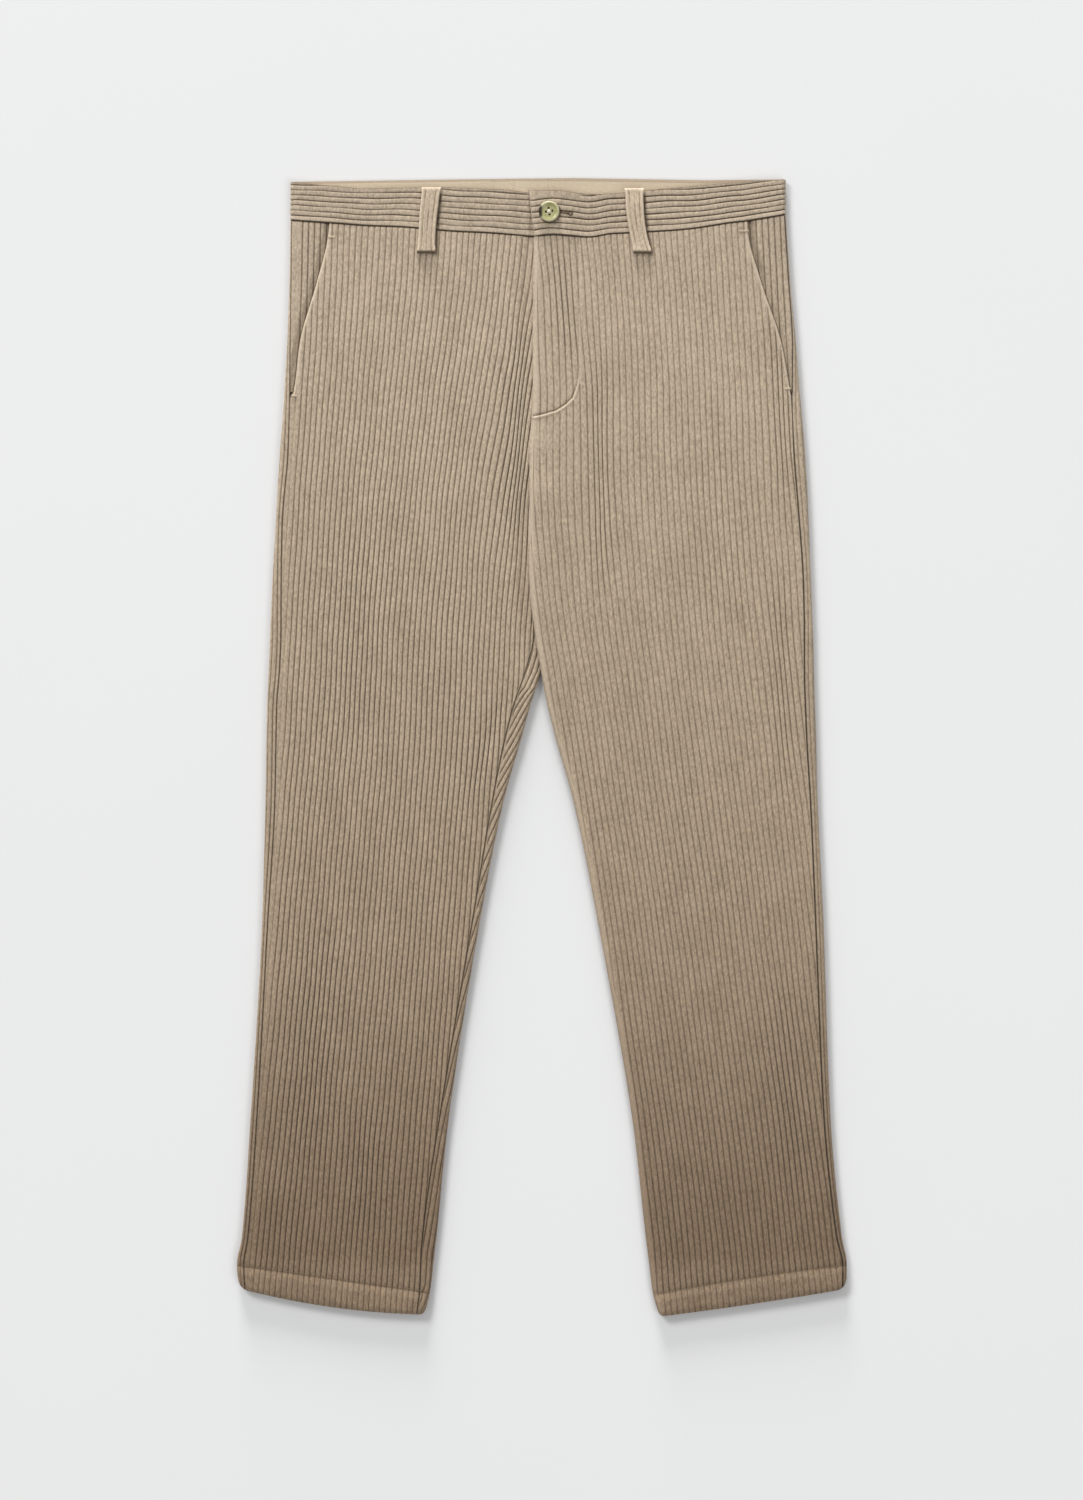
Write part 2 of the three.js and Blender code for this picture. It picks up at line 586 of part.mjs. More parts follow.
// The plain inner facing of the back waistband, which shows above the front's edge.
function innerFacing() {
  const under = BAND_WALL + SEAM_GAP;
  const middle = (INNER_FACING.left + INNER_FACING.right) / 2;
  const stations = [INNER_FACING.left, -57, middle, 29, 144, INNER_FACING.right];
  const lower = LEFT_LEG[0].y + SEAM_GAP + INNER_FACING.tuck;
  const layer = (z) => [
    stations.map((x) => new THREE.Vector3(x, lower, z)),
    stations.map((x) => new THREE.Vector3(x, along(BACK_TOP, "x", "y", x) - INNER_FACING.inset, z)),
  ];
  return closedWall(layer(under + INNER_FACING.wall), layer(under));
}

// A belt loop: a ribbed strip over the band, with its foot folded under.
function beltLoop(loop) {
  const seat = LEG_HEIGHT + SEAM_GAP;
  const pointAt = (run, share, z) => {
    const x = mix(loop.topX, loop.footX, run) + (share - 0.5) * LOOP.width;
    return new THREE.Vector3(x, mix(loop.topY, loop.footY, run), z);
  };
  const lines = ribLines(LOOP.ribs);
  return closedWall(
    LOOP_PROFILE.map(({ run, over }) =>
      lines.map(({ at, depth }) => pointAt(run, at, seat + over - GROOVE * depth)),
    ),
    LOOP_PROFILE.map(({ run, under }) => [0, 1].map((share) => pointAt(run, share, seat + under))),
  );
}

const wasm = await Module();
wasm.setup();

function solidOf(geometry) {
  const clean = geometry.clone();
  clean.deleteAttribute("normal");
  clean.deleteAttribute("uv");
  const merged = mergeVertices(clean, 1e-3);
  const mesh = new wasm.Mesh({
    numProp: 3,
    vertProperties: new Float32Array(merged.getAttribute("position").array),
    triVerts: new Uint32Array(merged.index.array),
  });
  return new wasm.Manifold(mesh);
}

function geometryFrom(solid) {
  const mesh = solid.getMesh();
  const geometry = new THREE.BufferGeometry();
  geometry.setAttribute("position", new THREE.BufferAttribute(mesh.vertProperties, 3));
  geometry.setIndex(new THREE.BufferAttribute(mesh.triVerts, 1));
  return geometry;
}

const pin = (radius, low, high, x, y, sides = 10) =>
  new THREE.CylinderGeometry(radius, radius, high - low, sides)
    .rotateX(PI / 2)
    .translate(x, y, (low + high) / 2);

// The slot and eyelet that are cut through the right band for the button's shank.
function cutButtonhole(band) {
  const { x, y } = BUTTON;
  const [low, high] = [BAND_STACK + BAND_WALL, BAND_STACK + 3 * BAND_WALL + 1];
  const middle = (low + high) / 2;
  const end = x + BUTTONHOLE.length;
  const slot = new THREE.BoxGeometry(BUTTONHOLE.length, 2 * BUTTONHOLE.slot, high - low);
  slot.translate(x + BUTTONHOLE.length / 2, y, middle);
  const cutter = solidOf(slot)
    .add(solidOf(pin(BUTTONHOLE.eyelet, low, high, end, y)))
    .add(solidOf(pin(SHANK_RADIUS + SEAM_GAP, low, high, x, y)));
  return geometryFrom(solidOf(band).subtract(cutter));
}

// A dished button with four holes, on a short shank of thread that passes the buttonhole.
function makeButton() {
  const { x, y, thick, hole, spacing, sides } = BUTTON;
  const seat = BAND_STACK + 2 * BAND_WALL + 2 * SEAM_GAP;
  const floor = BAND_STACK + BAND_WALL + SEAM_GAP;
  const profile = BUTTON_PROFILE.map(({ out, up }) => new THREE.Vector2(out, seat + up));
  const disc = new THREE.LatheGeometry(profile, sides, 0.07).rotateX(PI / 2).translate(x, y, 0);
  let solid = solidOf(disc);
  for (const [dx, dy] of [[1, 1], [1, -1], [-1, 1], [-1, -1]]) {
    const place = [x + dx * spacing, y + dy * spacing];
    solid = solid.subtract(solidOf(pin(hole, seat - 1, seat + thick + 1, ...place, 8)));
  }
  return geometryFrom(solid.add(solidOf(pin(SHANK_RADIUS, floor, seat + 0.5, x, y, 8))));
}

const trousers = new THREE.Group();

function addPiece(name, geometry, color, roughness = 0.95) {
  const material = new THREE.MeshStandardMaterial({ color, roughness, metalness: 0 });
  const mesh = new THREE.Mesh(geometry, material);
  mesh.name = name;
  trousers.add(mesh);
}

const leftLeg = makeLeg("left", -1, LEFT_LEG);
const rightLeg = makeLeg("right", 1, RIGHT_LEG);

for (const leg of [leftLeg, rightLeg]) {
  addPiece("front_" + leg.side, frontPiece(leg), COLOURS.front);
  addPiece("back_" + leg.side, backPiece(leg), COLOURS.back);
  addPiece("pocket_facing_" + leg.side, pocketFacing(leg), COLOURS.facing);
}
addPiece("waistband_left", frontBand(leftLeg), COLOURS.band);
addPiece("waistband_right", cutButtonhole(frontBand(rightLeg)), COLOURS.band);
addPiece("waistband_back_left", backBand(leftLeg), COLOURS.band);
addPiece("waistband_back_right", backBand(rightLeg), COLOURS.band);
addPiece("waistband_facing_back", innerFacing(), COLOURS.lining);
for (const loop of LOOPS) addPiece(loop.name, beltLoop(loop), COLOURS.loop);
addPiece("button", makeButton(), COLOURS.button, 0.35);

export default trousers;
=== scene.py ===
"""Corduroy trousers laid flat, front up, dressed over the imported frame."""

import bpy
import numpy as np
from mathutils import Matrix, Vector
from mathutils.bvhtree import BVHTree


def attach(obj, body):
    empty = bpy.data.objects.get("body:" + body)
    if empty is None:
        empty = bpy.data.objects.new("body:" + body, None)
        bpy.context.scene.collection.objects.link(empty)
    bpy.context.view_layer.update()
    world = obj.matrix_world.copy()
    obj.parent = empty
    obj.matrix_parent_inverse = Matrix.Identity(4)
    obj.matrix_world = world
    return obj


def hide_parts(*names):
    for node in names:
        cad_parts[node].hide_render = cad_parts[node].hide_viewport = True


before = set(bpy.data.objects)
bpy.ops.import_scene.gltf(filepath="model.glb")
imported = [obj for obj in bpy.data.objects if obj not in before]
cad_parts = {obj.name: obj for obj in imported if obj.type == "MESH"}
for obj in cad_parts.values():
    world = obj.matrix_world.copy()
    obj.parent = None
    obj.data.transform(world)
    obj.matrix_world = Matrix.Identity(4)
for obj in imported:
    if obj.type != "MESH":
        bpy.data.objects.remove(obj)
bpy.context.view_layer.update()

MM = 0.001

# Sizes, in millimetres

CLOTH = 2.2
GROOVE = 0.75
SEAM_GAP = 0.3
HALF_GAP = SEAM_GAP / 2
LEG_HEIGHT = 7.8
HEM_HEIGHT = 8.8
HEM_WALL = 3.8
HEM_FOLD = 5.0
PRESSED_HEIGHT = 4.7
TUCKED_HEIGHT = 5.3
LAP_LIFT = PRESSED_HEIGHT + SEAM_GAP
LAP_FULL = 17
LAP_FADE = 14
PRESS_START = 14
PRESS_FADE = 10
CENTRE_BACK = -8
FACING_TUCK = 12
FACING_DIP = 6
SEAM_ROUND = 0.9
EDGE_ROUND = 1.3
BAND_WALL = 2.4
BAND_OVERHANG = 2.3
BAND_STACK = 4.0
UNDERLAP_END = 24
UNDERLAP_RISE = 2.5
BAND_END_SLANT = 4.5

# Sections of each leg, as the solids have them: a row is a section, from the waist seam to the hem.
COLUMNS = "y drop bow edge seam front inseam inner cover wale pitch press lift turn".split()
LEFT_LEG = [
    (459, 13.9, 0, 218.4, 217.2, 184.4, -5, 5.8, 6.4, 217.5, 5.18, 0, 0, 0),
    (446, 11.8, 0, 218.6, 217.3, 185.6, -5, 5.8, 6.5, 217.7, 5.16, 0, 0, 0),
    (405, 5, 0, 219.4, 217.6, 195.5, -5, 5.8, 7, 218.4, 5.08, 0, 0, 0),
    (353, 0, 0, 221.1, 218.2, 210, -5, 5.8, 7.4, 220.2, 4.93, 0, 0, 0),
    (310, 0, 0, 223.7, 218.4, 215.4, -5, 5.8, 7.2, 222.6, 4.8, 0, 0, 0),
    (305, 0, 0, 224, 218.5, 218.35, -5, 5.8, 7.3, 222.9, 4.79, 0, 0, 0),
    (255, 0, 0, 227.6, 220.2, 220.05, 8.15, 5.8, 10.2, 226.1, 4.68, 0, 0, 0),
    (216, 0, 0, 230.1, 223.7, 223.55, 8.15, 5.8, 10, 228.6, 4.61, 1, 0, 0),
    (204, 0, 0, 230.8, 224.6, 224.45, 7.15, 2, 10.6, 229.3, 4.6, 1, 0, 0.5),
    (190, 0, 0, 231.5, 225.3, 225.15, 6.45, -2, 11, 230.2, 4.59, 1, 0, 1),
    (145, 0, 0, 234, 226, 225.85, 7.15, -5, 10.2, 233.1, 4.56, 1, 0, 1),
    (100, 0, 0, 236, 226.2, 226.05, 6.15, -4, 5.4, 236, 4.54, 1, 0, 1),
    (66, 0, 0, 237.4, 227.6, 227.45, 13.85, 0, 0, 238, 4.55, 1, 0, 1),
    (40, 0, 0, 238.5, 229.8, 229.65, 22.95, 8.3, -20, 239.6, 4.56, 0, 0, 1),
    (5, 0, 0, 239.3, 230.6, 230.45, 32.15, 18, -20, 241.8, 4.57, 0, 0, 1),
    (-45, 0, 0, 240.1, 231.5, 231.35, 42.15, 32.2, -20, 246.1, 4.58, 0, 0, 1),
    (-150, 0, 0, 243, 237.6, 237.45, 59.65, 53, -20, 256.2, 4.62, 0, 0, 1),
    (-320, 0, 0, 253.1, 247, 246.85, 88.05, 80, -20, 273.2, 4.7, 0, 0, 1),
    (-426, 12, 0, 260.8, 255, 254.85, 104.15, 92.5, -20, 284.4, 4.76, 0, 0, 1),
    (-449, 24, 0, 265, 258.5, 258.35, 105.65, 96.6, -20, 286.9, 4.77, 0, 0, 1),
    (-470, 23, 5, 264, 257.5, 257.35, 108.15, 100.1, -20, 289.2, 4.79, 0, 0, 1),
]
RIGHT_LEG = [
    (464, 19, 5, 213.2, 212, 179.8, 0, -6.4, 0, 213.2, 5.26, 0, 0, 0),
    (451, 16, 3.6, 214.1, 212.8, 180.6, 0, -6.5, 0, 213.8, 5.25, 0, 0, 0),
    (405, 5, 0, 217.3, 215.6, 192, 0, -7, 0, 216, 5.22, 0, 0, 0),
    (353, 0, 0, 222, 218.7, 209.2, 0, -7.4, 0, 219, 5.22, 0, 0, 0),
    (310, 0, 0, 225.3, 218.6, 217.1, 0, -7.2, 0, 221.6, 5.24, 0, 0, 0),
    (305, 0, 0, 225.8, 218.2, 218.05, 0, -7.3, 0, 221.9, 5.25, 0, 0, 0),
    (255, 0, 0, 230, 220.3, 220.15, 0, -10.2, 0, 224.9, 5.33, 0, 0, 0),
    (216, 0, 0, 232.3, 223.3, 223.15, 0, -10, 0, 227.9, 5.39, 0, 1, 0),
    (204, 0, 0, 232.8, 224.2, 224.05, 0, -10.6, 0, 228.9, 5.4, 0, 1, 0.5),
    (190, 0, 0, 233.4, 225.4, 225.25, 0, -11, 0, 230.1, 5.42, 0, 1, 1),
    (145, 0, 0, 235.2, 228.3, 228.15, 0, -10.2, 0, 233.7, 5.42, 0, 1, 1),
    (100, 0, 0, 236.9, 229.2, 229.05, 0, -5.4, 0, 237.2, 5.38, 0, 1, 1),
    (66, 0, 0, 237.7, 229.2, 229.05, 0, 0, 0, 240.4, 5.32, 0, 1, 1),
    (40, 0, 0, 238.5, 230, 229.85, 0, 4.8, 0, 242.9, 5.28, 0, 0.6, 1),
    (5, 0, 0, 239.6, 231.4, 231.25, 0, 13.6, 0, 246.5, 5.23, 0, 0.15, 1),
    (-45, 0, 0, 241, 234.5, 234.35, 0, 27.8, 0, 251.9, 5.18, 0, 0, 1),
    (-150, 0, 0, 246, 239, 238.85, 0, 49.1, 0, 264.1, 5.08, 0, 0, 1),
    (-320, 0, 0, 252.1, 246.2, 246.05, 0, 79, 0, 285.7, 5.03, 0, 0, 1),
    (-426, 12, 0, 262.1, 257.4, 257.25, 0, 92.7, 0, 299, 5, 0, 0, 1),
    (-449, 26, -2, 266.2, 262.5, 262.35, 0, 97.4, 0, 301.9, 5, 0, 0, 1),
    (-470.5, 24.5, 1, 266.2, 262.5, 262.35, 0, 101.8, 0, 304.5, 5, 0, 0, 1),
]
TABLES = {"left": LEFT_LEG, "right": RIGHT_LEG}
WALES = {"left": 54, "right": 48}
BACK_DROP = {"left": 3, "right": 8}
RIB_STRENGTH = {
    "left": [(-470, 1.3), (-200, 1.35), (100, 1.3), (300, 1.15), (459, 1.0)],
    "right": [(-470, 1.35), (-300, 1.2), (-200, 1.05), (100, 0.95), (464, 0.95)],
}
# How much more painted shade each side seam gets.
SEAM_DARK = {"left": 0.35, "right": 0.9}
# How far the waist seam rises along each front: (distance outwards, rise).
SEAM_WAVES = {
    "left": [(-24, 0), (8.7, 0), (45, 0.4), (75, -0.2), (120, 0.6), (155, -0.3), (178, 0), (219, 0)],
    "right": [
        (-9, -0.4), (9.6, 1.5), (25, 0.3), (42.6, -1.5), (62, 0.6),
        (90, 0.2), (130, -0.6), (165, 0.4), (178, 0), (214, 0),
    ],
}
SEAM_WAVE_DEPTH = 22
POCKET_FOOT_Y = 310

# The turned hem: its stitches, the step under them, the painted shade line just under them, its fold and its
# rounded corners.
HEM_STITCH_Y, HEM_FOLD_Y = -449, -470
HEM_STEP_BELOW, HEM_STEP_LENGTH, HEM_RISE_LENGTH = 0.6, 3.0, 8.0
HEM_SWELL, HEM_RIB_LOSS, HEM_FOLD_SHUT = 0.15, 0.3, 0.98
HEM_DIP, HEM_DIP_WIDTH = 0.35, 1.1
HEM_RIDGE, HEM_RIDGE_ABOVE, HEM_RIDGE_WIDTH = 0.2, 6.0, 4.0
HEM_LINE_BELOW, HEM_LINE_WIDTH = 0.5, 1.0
HEM_CORNER_OUTER, HEM_CORNER_INNER = 9.0, 6.0
HEM_CORNER_RISE, HEM_CORNER_POWER = 20.0, 1.5

# The rows of a leg: how far apart, and closer where the cloth steps, as (from, to, how far apart).
ROW_SPACING = {"left": 7.0, "right": 8.5}
POCKET_ROW_SPACING = 4.0
CLOSE_ROWS = {"left": [(186, 258, 3.0)], "right": [(186, 258, 3.0), (284, 326, 0.8)]}
WAIST_ROWS, WAIST_ROWS_DEPTH = (0, 0.4, 1, 2, 3.5), 4
HEM_ROWS_FROM, HEM_ROWS_STITCHED = -440, -458
HEM_ROW_SPACINGS = (1.0, 2.6, 1.2)

# Soft folds of the fronts, as lines with a width and a height, and the wales' crowding at them.
FOLD_COLUMNS = "from_x from_y to_x to_y width height crowd deepen".split()
FOLDS = [
    (-15, 405, -24, 150, 11, -0.45, 0.34, 0.7),
    (-40, 330, -46, 110, 13, 0.3, -0.1, 0),
    (49, 372, 54, 110, 9, -0.45, 0.3, 0.6),
    (13, 470, 27, 318, 8, 0, 0.1, 0.75),
    (0, 286, 4, 250, 9, 0, 0, -0.6),
    (24, 330, 30, 150, 11, 0.3, -0.1, 0),
    (204, 425, 216, 180, 9, -0.4, 0.3, 0.6),
    (206, 180, 214, -60, 9, -0.35, 0.25, 0.5),
    (-16, 62, -52, -40, 6, 0.45, 0, 0.1),
    (-30, 60, -66, -60, 6, -0.4, 0.1, 0.4),
    (-46, 66, -80, -50, 8, 0.3, -0.05, 0.1),
    (24, 40, 60, -110, 9, 0.3, 0, 0.1),
    (-70, 180, -96, -60, 22, 0.3, -0.05, 0.1),
    (120, 60, 150, -210, 24, 0.3, -0.05, 0.1),
    (-150, 250, -168, -40, 20, -0.3, 0.06, 0.2),
    (150, 300, 162, 60, 22, -0.25, 0.06, 0.15),
    (-190, -120, -205, -400, 16, -0.35, 0.08, 0.25),
    (-112, -150, -128, -430, 14, 0.35, -0.06, 0),
    (206, -160, 226, -420, 14, -0.4, 0.1, 0.35),
    (150, -250, 190, -440, 18, 0.35, -0.05, 0),
    (-240, -360, -200, -446, 14, 0.4, 0, 0.1),
    (-150, -300, -158, -440, 12, -0.35, 0.08, 0.25),
]
# The folds fade out beside the outer edge, and reach further for the grooves than for the height.
FLAT_EDGE, FLAT_FADE = 6, 10
DEEPEN_REACH, CROWD_REACH = 1.3, 1.6
# The slight unevenness of the cloth, of its wales across, and the width and roundness of a groove.
SWELL_BROAD, SWELL_FINE = 0.12, 0.08
WALE_WANDER, WALE_QUIVER = 0.3, 0.18
GROOVE_WIDTH, WALE_ROUNDNESS = 0.115, 0.1

FLY_STITCH = [
    (32.2, 446), (32.4, 328), (31.3, 317.6), (27, 304.9),
    (20.5, 298.8), (12.8, 294.1), (1.7, 290.9), (-6.6, 289),
]
FLY_LIP, FLY_LIP_IN, FLY_LIP_WIDTH = 0.45, 3.0, 2.0
UNTURNED, PRESS_ONSET = 0.01, 50

# Belt loops: name, then the middle of the top and of the foot.
LOOPS = [("belt_loop_left", -95.2, 487.8, -99.9, 430.4), ("belt_loop_right", 81.1, 487.0, 88.6, 430.2)]
LOOP_WIDTH, LOOP_WALL, LOOP_FOLD = 15.2, 2.0, 4.2
LOOP_BEND_LEFT, LOOP_BEND_RIGHT = -0.8, -2.2

# The top edges of the waistband, from the left.
FRONT_TOP_LEFT = [
    (-218.4, 492.8), (-195, 490.6), (-157, 486.9), (-87, 488.4), (-30, 486), (-9.5, 483.6), (24, 482.6),
]
FRONT_TOP_RIGHT = [
    (-8.7, 485.4), (17, 485.4), (33, 482.9), (48, 482),
    (64, 482.9), (114, 487.5), (160, 491.6), (213.2, 495.2),
]
BACK_TOP = [(-218.4, 493.2), (-57, 495.6), (29, 496.5), (144, 494.6), (213.2, 495.4)]

# How dark painted shade is drawn in seams, creases, at the hem's step and beside or under raised parts, where
# the bottom of a groove between wales is about 1.
DARKEST_PAINTED_SHADE = 1.9
LOOP_PAINTED_SHADOW, BUTTON_PAINTED_SHADOW, BUTTONHOLE_PAINTED_SHADE, TACK_PAINTED_SHADE = 1.8, 1.75, 1.15, 1.1
FACING_PAINTED_SHADOW, SEAM_PAINTED_SHADE, HEM_PAINTED_SHADE = 1.6, 1.5, 1.1
# Where the painted shade under the waistband and along a seam lies.
UNDER_BAND_WIDTH, UNDER_BAND_FADE = 1.3, 0.8
SEAM_SHADE_WIDTH, SEAM_SHADE_FADE = 0.9, 0.5


def mix(a, b, t):
    return a + (b - a) * t


def smooth(t):
    t = np.clip(t, 0, 1)
    return t * t * (3 - 2 * t)


def hump(distance, width):
    """1 at no distance, falling away softly on both sides."""
    return np.exp(-((distance / width) ** 2))


def most(*values):
    """The largest of several values or grids, place by place."""
    return np.maximum.reduce(np.broadcast_arrays(*values))


def table_line(points, at):
    xs, ys = zip(*points)
    return np.interp(at, xs, ys)


def eased_column(knots, values, at):
    """A smooth curve through a table's column that never swings past its values."""
    step = np.diff(knots)
    slope = np.diff(values) / step
    lean = np.zeros(len(knots))
    lean[0], lean[-1] = slope[0], slope[-1]
    for i in range(1, len(knots) - 1):
        if slope[i - 1] * slope[i] > 0:
            lean[i] = 2 * slope[i - 1] * slope[i] / (slope[i - 1] + slope[i])
    i = np.clip(np.searchsorted(knots, at) - 1, 0, len(step) - 1)
    t = (at - knots[i]) / step[i]
    a, b = values[i], values[i + 1]
    bend = (2 * t**3 - 3 * t**2 + 1) * a + (3 * t**2 - 2 * t**3) * b
    return bend + ((t**3 - 2 * t**2 + t) * lean[i] + (t**3 - t**2) * lean[i + 1]) * step[i]


def line_share(x, y, fold):
    """Signed distance from a fold's line and how strong the fold is there."""
    run = (y - fold["from_y"]) / (fold["to_y"] - fold["from_y"])
    across = x - mix(fold["from_x"], fold["to_x"], run)
    return across, smooth(run * 3) * smooth((1 - run) * 3)


ALL_FOLDS = [dict(zip(FOLD_COLUMNS, row)) for row in FOLDS]


def fold_height(x, y):
    """The soft folds, over the slight swell of cloth that lies flat."""
    broad = np.sin(x / 23 + y / 61) * np.sin(y / 47 - x / 90)
    total = SWELL_BROAD * broad + SWELL_FINE * np.sin(y / 19 + x / 31)
    for fold in ALL_FOLDS:
        across, strength = line_share(x, y, fold)
        total = total + fold["height"] * strength * hump(across, fold["width"]) ** 2
    return total


def groove_strength(x, y):
    """How much deeper the grooves are along the folds."""
    total = np.ones(np.broadcast(x, y).shape)
    for fold in ALL_FOLDS:
        across, strength = line_share(x, y, fold)
        total = total + fold["deepen"] * strength * hump(across, fold["width"] * DEEPEN_REACH)
    return total


def crowded(x, y):
    """Wales drawn together at the folds."""
    wander = np.sin(y / 37 + x / 61) * np.sin(x / 43 + 2)
    moved = x + WALE_WANDER * wander + WALE_QUIVER * np.sin(y / 15 + x / 9)
    for fold in ALL_FOLDS:
        across, strength = line_share(x, y, fold)
        moved = moved - fold["crowd"] * strength * across * hump(across, fold["width"] * CROWD_REACH)
    return moved


def wale_depth(share, width=GROOVE_WIDTH):
    """Depth of the groove beside a wale: 0 on the crest, about 1 at the bottom of the groove."""
    away = np.abs(share - np.round(share))
    return hump(away, width) + WALE_ROUNDNESS * (1 - smooth(away / 0.5))


def loop_middle(line, run):
    """The middle of a belt loop at a share of its length."""
    top_x, top_y, foot_x, foot_y = line
    bend = LOOP_BEND_RIGHT if top_x > 0 else LOOP_BEND_LEFT
    return mix(top_x, foot_x, run) + bend * np.sin(np.clip(run, 0, 1) * np.pi)


def quarter_round(share):
    """How far a quarter circle has fallen at a share of its width, of a whole fall of 1."""
    return 1 - np.sqrt(1 - np.clip(share, 0, 1) ** 2)


def edge_roll(distance, radius):
    """How far a rolled edge drops at a distance from the edge."""
    return radius * quarter_round(1 - distance / radius)


def path_distance(x, y, path):
    """Distance to a path of points, and its side: 1 on the path's left, -1 on its right."""
    best = np.full(x.shape, 1e9)
    side = np.ones(x.shape)
    for (ax, ay), (bx, by) in zip(path, path[1:]):
        dx, dy = bx - ax, by - ay
        t = np.clip(((x - ax) * dx + (y - ay) * dy) / (dx * dx + dy * dy), 0, 1)
        away = np.hypot(x - ax - t * dx, y - ay - t * dy)
        nearer = away < best
        side = np.where(nearer, np.sign(dx * (y - ay) - dy * (x - ax)), side)
        best = np.minimum(best, away)
    return best, side


def leg_rows(side, knots, spacing):
    """The heights of a leg's rows, from the waist seam down."""
    waist, end = knots[0], knots[-1]
    rows = [[waist]]
    for a, b in zip(knots, knots[1:]):
        rows.append(np.linspace(a, b, int(np.ceil((a - b) / spacing)) + 1)[1:])
    rows = np.concatenate(rows)
    for low, high, apart in CLOSE_ROWS[side]:
        if end < low:
            rows = np.concatenate([rows[(rows < low) | (rows > high)], np.arange(low, high, apart)])
    rows = np.sort(rows)[::-1]
    if end < HEM_ROWS_FROM:
        bounds = (HEM_ROWS_FROM, HEM_ROWS_STITCHED, end + HEM_FOLD, end)
        near = [np.arange(a, b, -apart) for a, b, apart in zip(bounds, bounds[1:], HEM_ROW_SPACINGS)]
        rows = np.concatenate([rows[rows > HEM_ROWS_FROM], *near, [end]])
    return np.concatenate([waist - np.array(WAIST_ROWS), rows[rows < waist - WAIST_ROWS_DEPTH]])


class Leg:
    """One leg: its sections, closely spaced, and the surfaces they give. w runs outwards from the middle."""

    def __init__(self, side, table, spacing):
        self.side, self.left = side, side == "left"
        self.sign = -1 if self.left else 1
        knots = np.array([row[0] for row in table], float)
        rows = leg_rows(side, knots, spacing)
        for i, name in enumerate(COLUMNS):
            values = np.array([row[i] for row in table], float)
            setattr(self, name, eased_column(knots[::-1], values[::-1], rows)[:, None])
        self.y = rows[:, None]
        self.seam_in = edge_roll(knots[0] - self.y, SEAM_ROUND)
        self.turn_hem(knots[-1])

    def turn_hem(self, end):
        """The step at the hem's stitches, its thicker wall, its rounded fold and its corners, and the painted
        shade line just under the stitches.
        """
        hemmed = end < HEM_ROWS_FROM
        below = HEM_STITCH_Y - HEM_STEP_BELOW - self.y
        in_hem = smooth(below / HEM_STEP_LENGTH)
        self.rib = table_line(RIB_STRENGTH[self.side], self.y) * (1 - HEM_RIB_LOSS * in_hem)
        self.high = mix(LEG_HEIGHT, HEM_HEIGHT + HEM_SWELL, smooth(below / HEM_RISE_LENGTH))
        self.high = self.high - HEM_DIP * hump(below, HEM_DIP_WIDTH)
        self.high = self.high + HEM_RIDGE * hump(below + HEM_RIDGE_ABOVE, HEM_RIDGE_WIDTH)
        self.hem_shade_line = HEM_PAINTED_SHADE * hump(below - HEM_LINE_BELOW, HEM_LINE_WIDTH) * hemmed
        near_end = np.clip(1 - (self.y - end) / HEM_CORNER_RISE, 0, 1)
        self.near_hem = near_end**HEM_CORNER_POWER * hemmed
        self.wall = mix(CLOTH, HEM_WALL, in_hem)
        into_fold = np.minimum((HEM_FOLD_Y + HEM_FOLD - self.y) / HEM_FOLD, HEM_FOLD_SHUT)
        self.fold_in = quarter_round(into_fold) * self.wall / 2

    def lapped(self, w):
        """How far the right leg is raised onto the left one, from 0 to 1."""
        return smooth((self.inner + LAP_FULL + LAP_FADE - w) / LAP_FADE) * self.lift

    def bottom(self, w):
        return 0 * w if self.left else LAP_LIFT * self.lapped(w)

    def top(self, w):
        folds = fold_height(self.sign * w, self.y)
        height = self.high + folds * smooth((self.edge - FLAT_EDGE - w) / FLAT_FADE)
        if not self.left:
            lip = FLY_LIP * hump(w - self.inner - FLY_LIP_IN, FLY_LIP_WIDTH) * (1 - self.turn)
            return height + lip + (LAP_LIFT + PRESSED_HEIGHT - self.high) * self.lapped(w)
        low = mix(TUCKED_HEIGHT, PRESSED_HEIGHT, self.press)
        under_lap = np.clip(self.press * PRESS_ONSET + (self.turn < UNTURNED), 0, 1)
        return mix(height, low, smooth((self.cover + PRESS_START - w) / PRESS_FADE) * under_lap)

    def inner_radius(self):
        return (self.top(self.inner) - self.bottom(self.inner)) / 2

    def centre_back(self):
        """Where the back ends, beside the centre back seam."""
        return (-CENTRE_BACK if self.left else CENTRE_BACK) + HALF_GAP

    def outer_cap(self, angle, inset):
        radius = self.high / 2
        reach = radius - inset
        return self.edge - radius + reach * np.cos(angle), radius + reach * np.sin(angle)

    def inner_cap(self, angle, inset):
        radius = self.inner_radius()
        reach = radius - inset
        middle = self.bottom(self.inner) + radius
        return self.inner + radius - reach * np.cos(angle), middle + reach * np.sin(angle)

    def on_top(self, w, inset):
        radius = self.high / 2
        past = (w - self.edge + radius) / radius
        cap_w, cap_z = self.outer_cap(np.arccos(np.clip(past, 0, 1)), inset)
        return np.where(past > 0, cap_w, w), np.where(past > 0, cap_z, self.top(w) - inset)

    def place(self, w, z, drop=None, bow=None, lifted=0):
        """Points in metres, with the drop and bow of the sections and the hem's rounded corners."""
        drop = self.drop if drop is None else drop
        bow = self.bow if bow is None else bow
        to_inner = (self.turn > 0.5) | (not self.left)
        t = (self.edge - w) / (self.edge - np.where(to_inner, self.inner, -CENTRE_BACK))
        y = self.y + lifted - drop * t - bow * 4 * t * (1 - t)
        for beyond, radius in ((w - self.edge, HEM_CORNER_OUTER), (self.inner - w, HEM_CORNER_INNER)):
            y = y + quarter_round(beyond / radius + 1) * radius * self.near_hem
        return np.stack(np.broadcast_arrays(self.sign * w, y, z), axis=-1) * MM

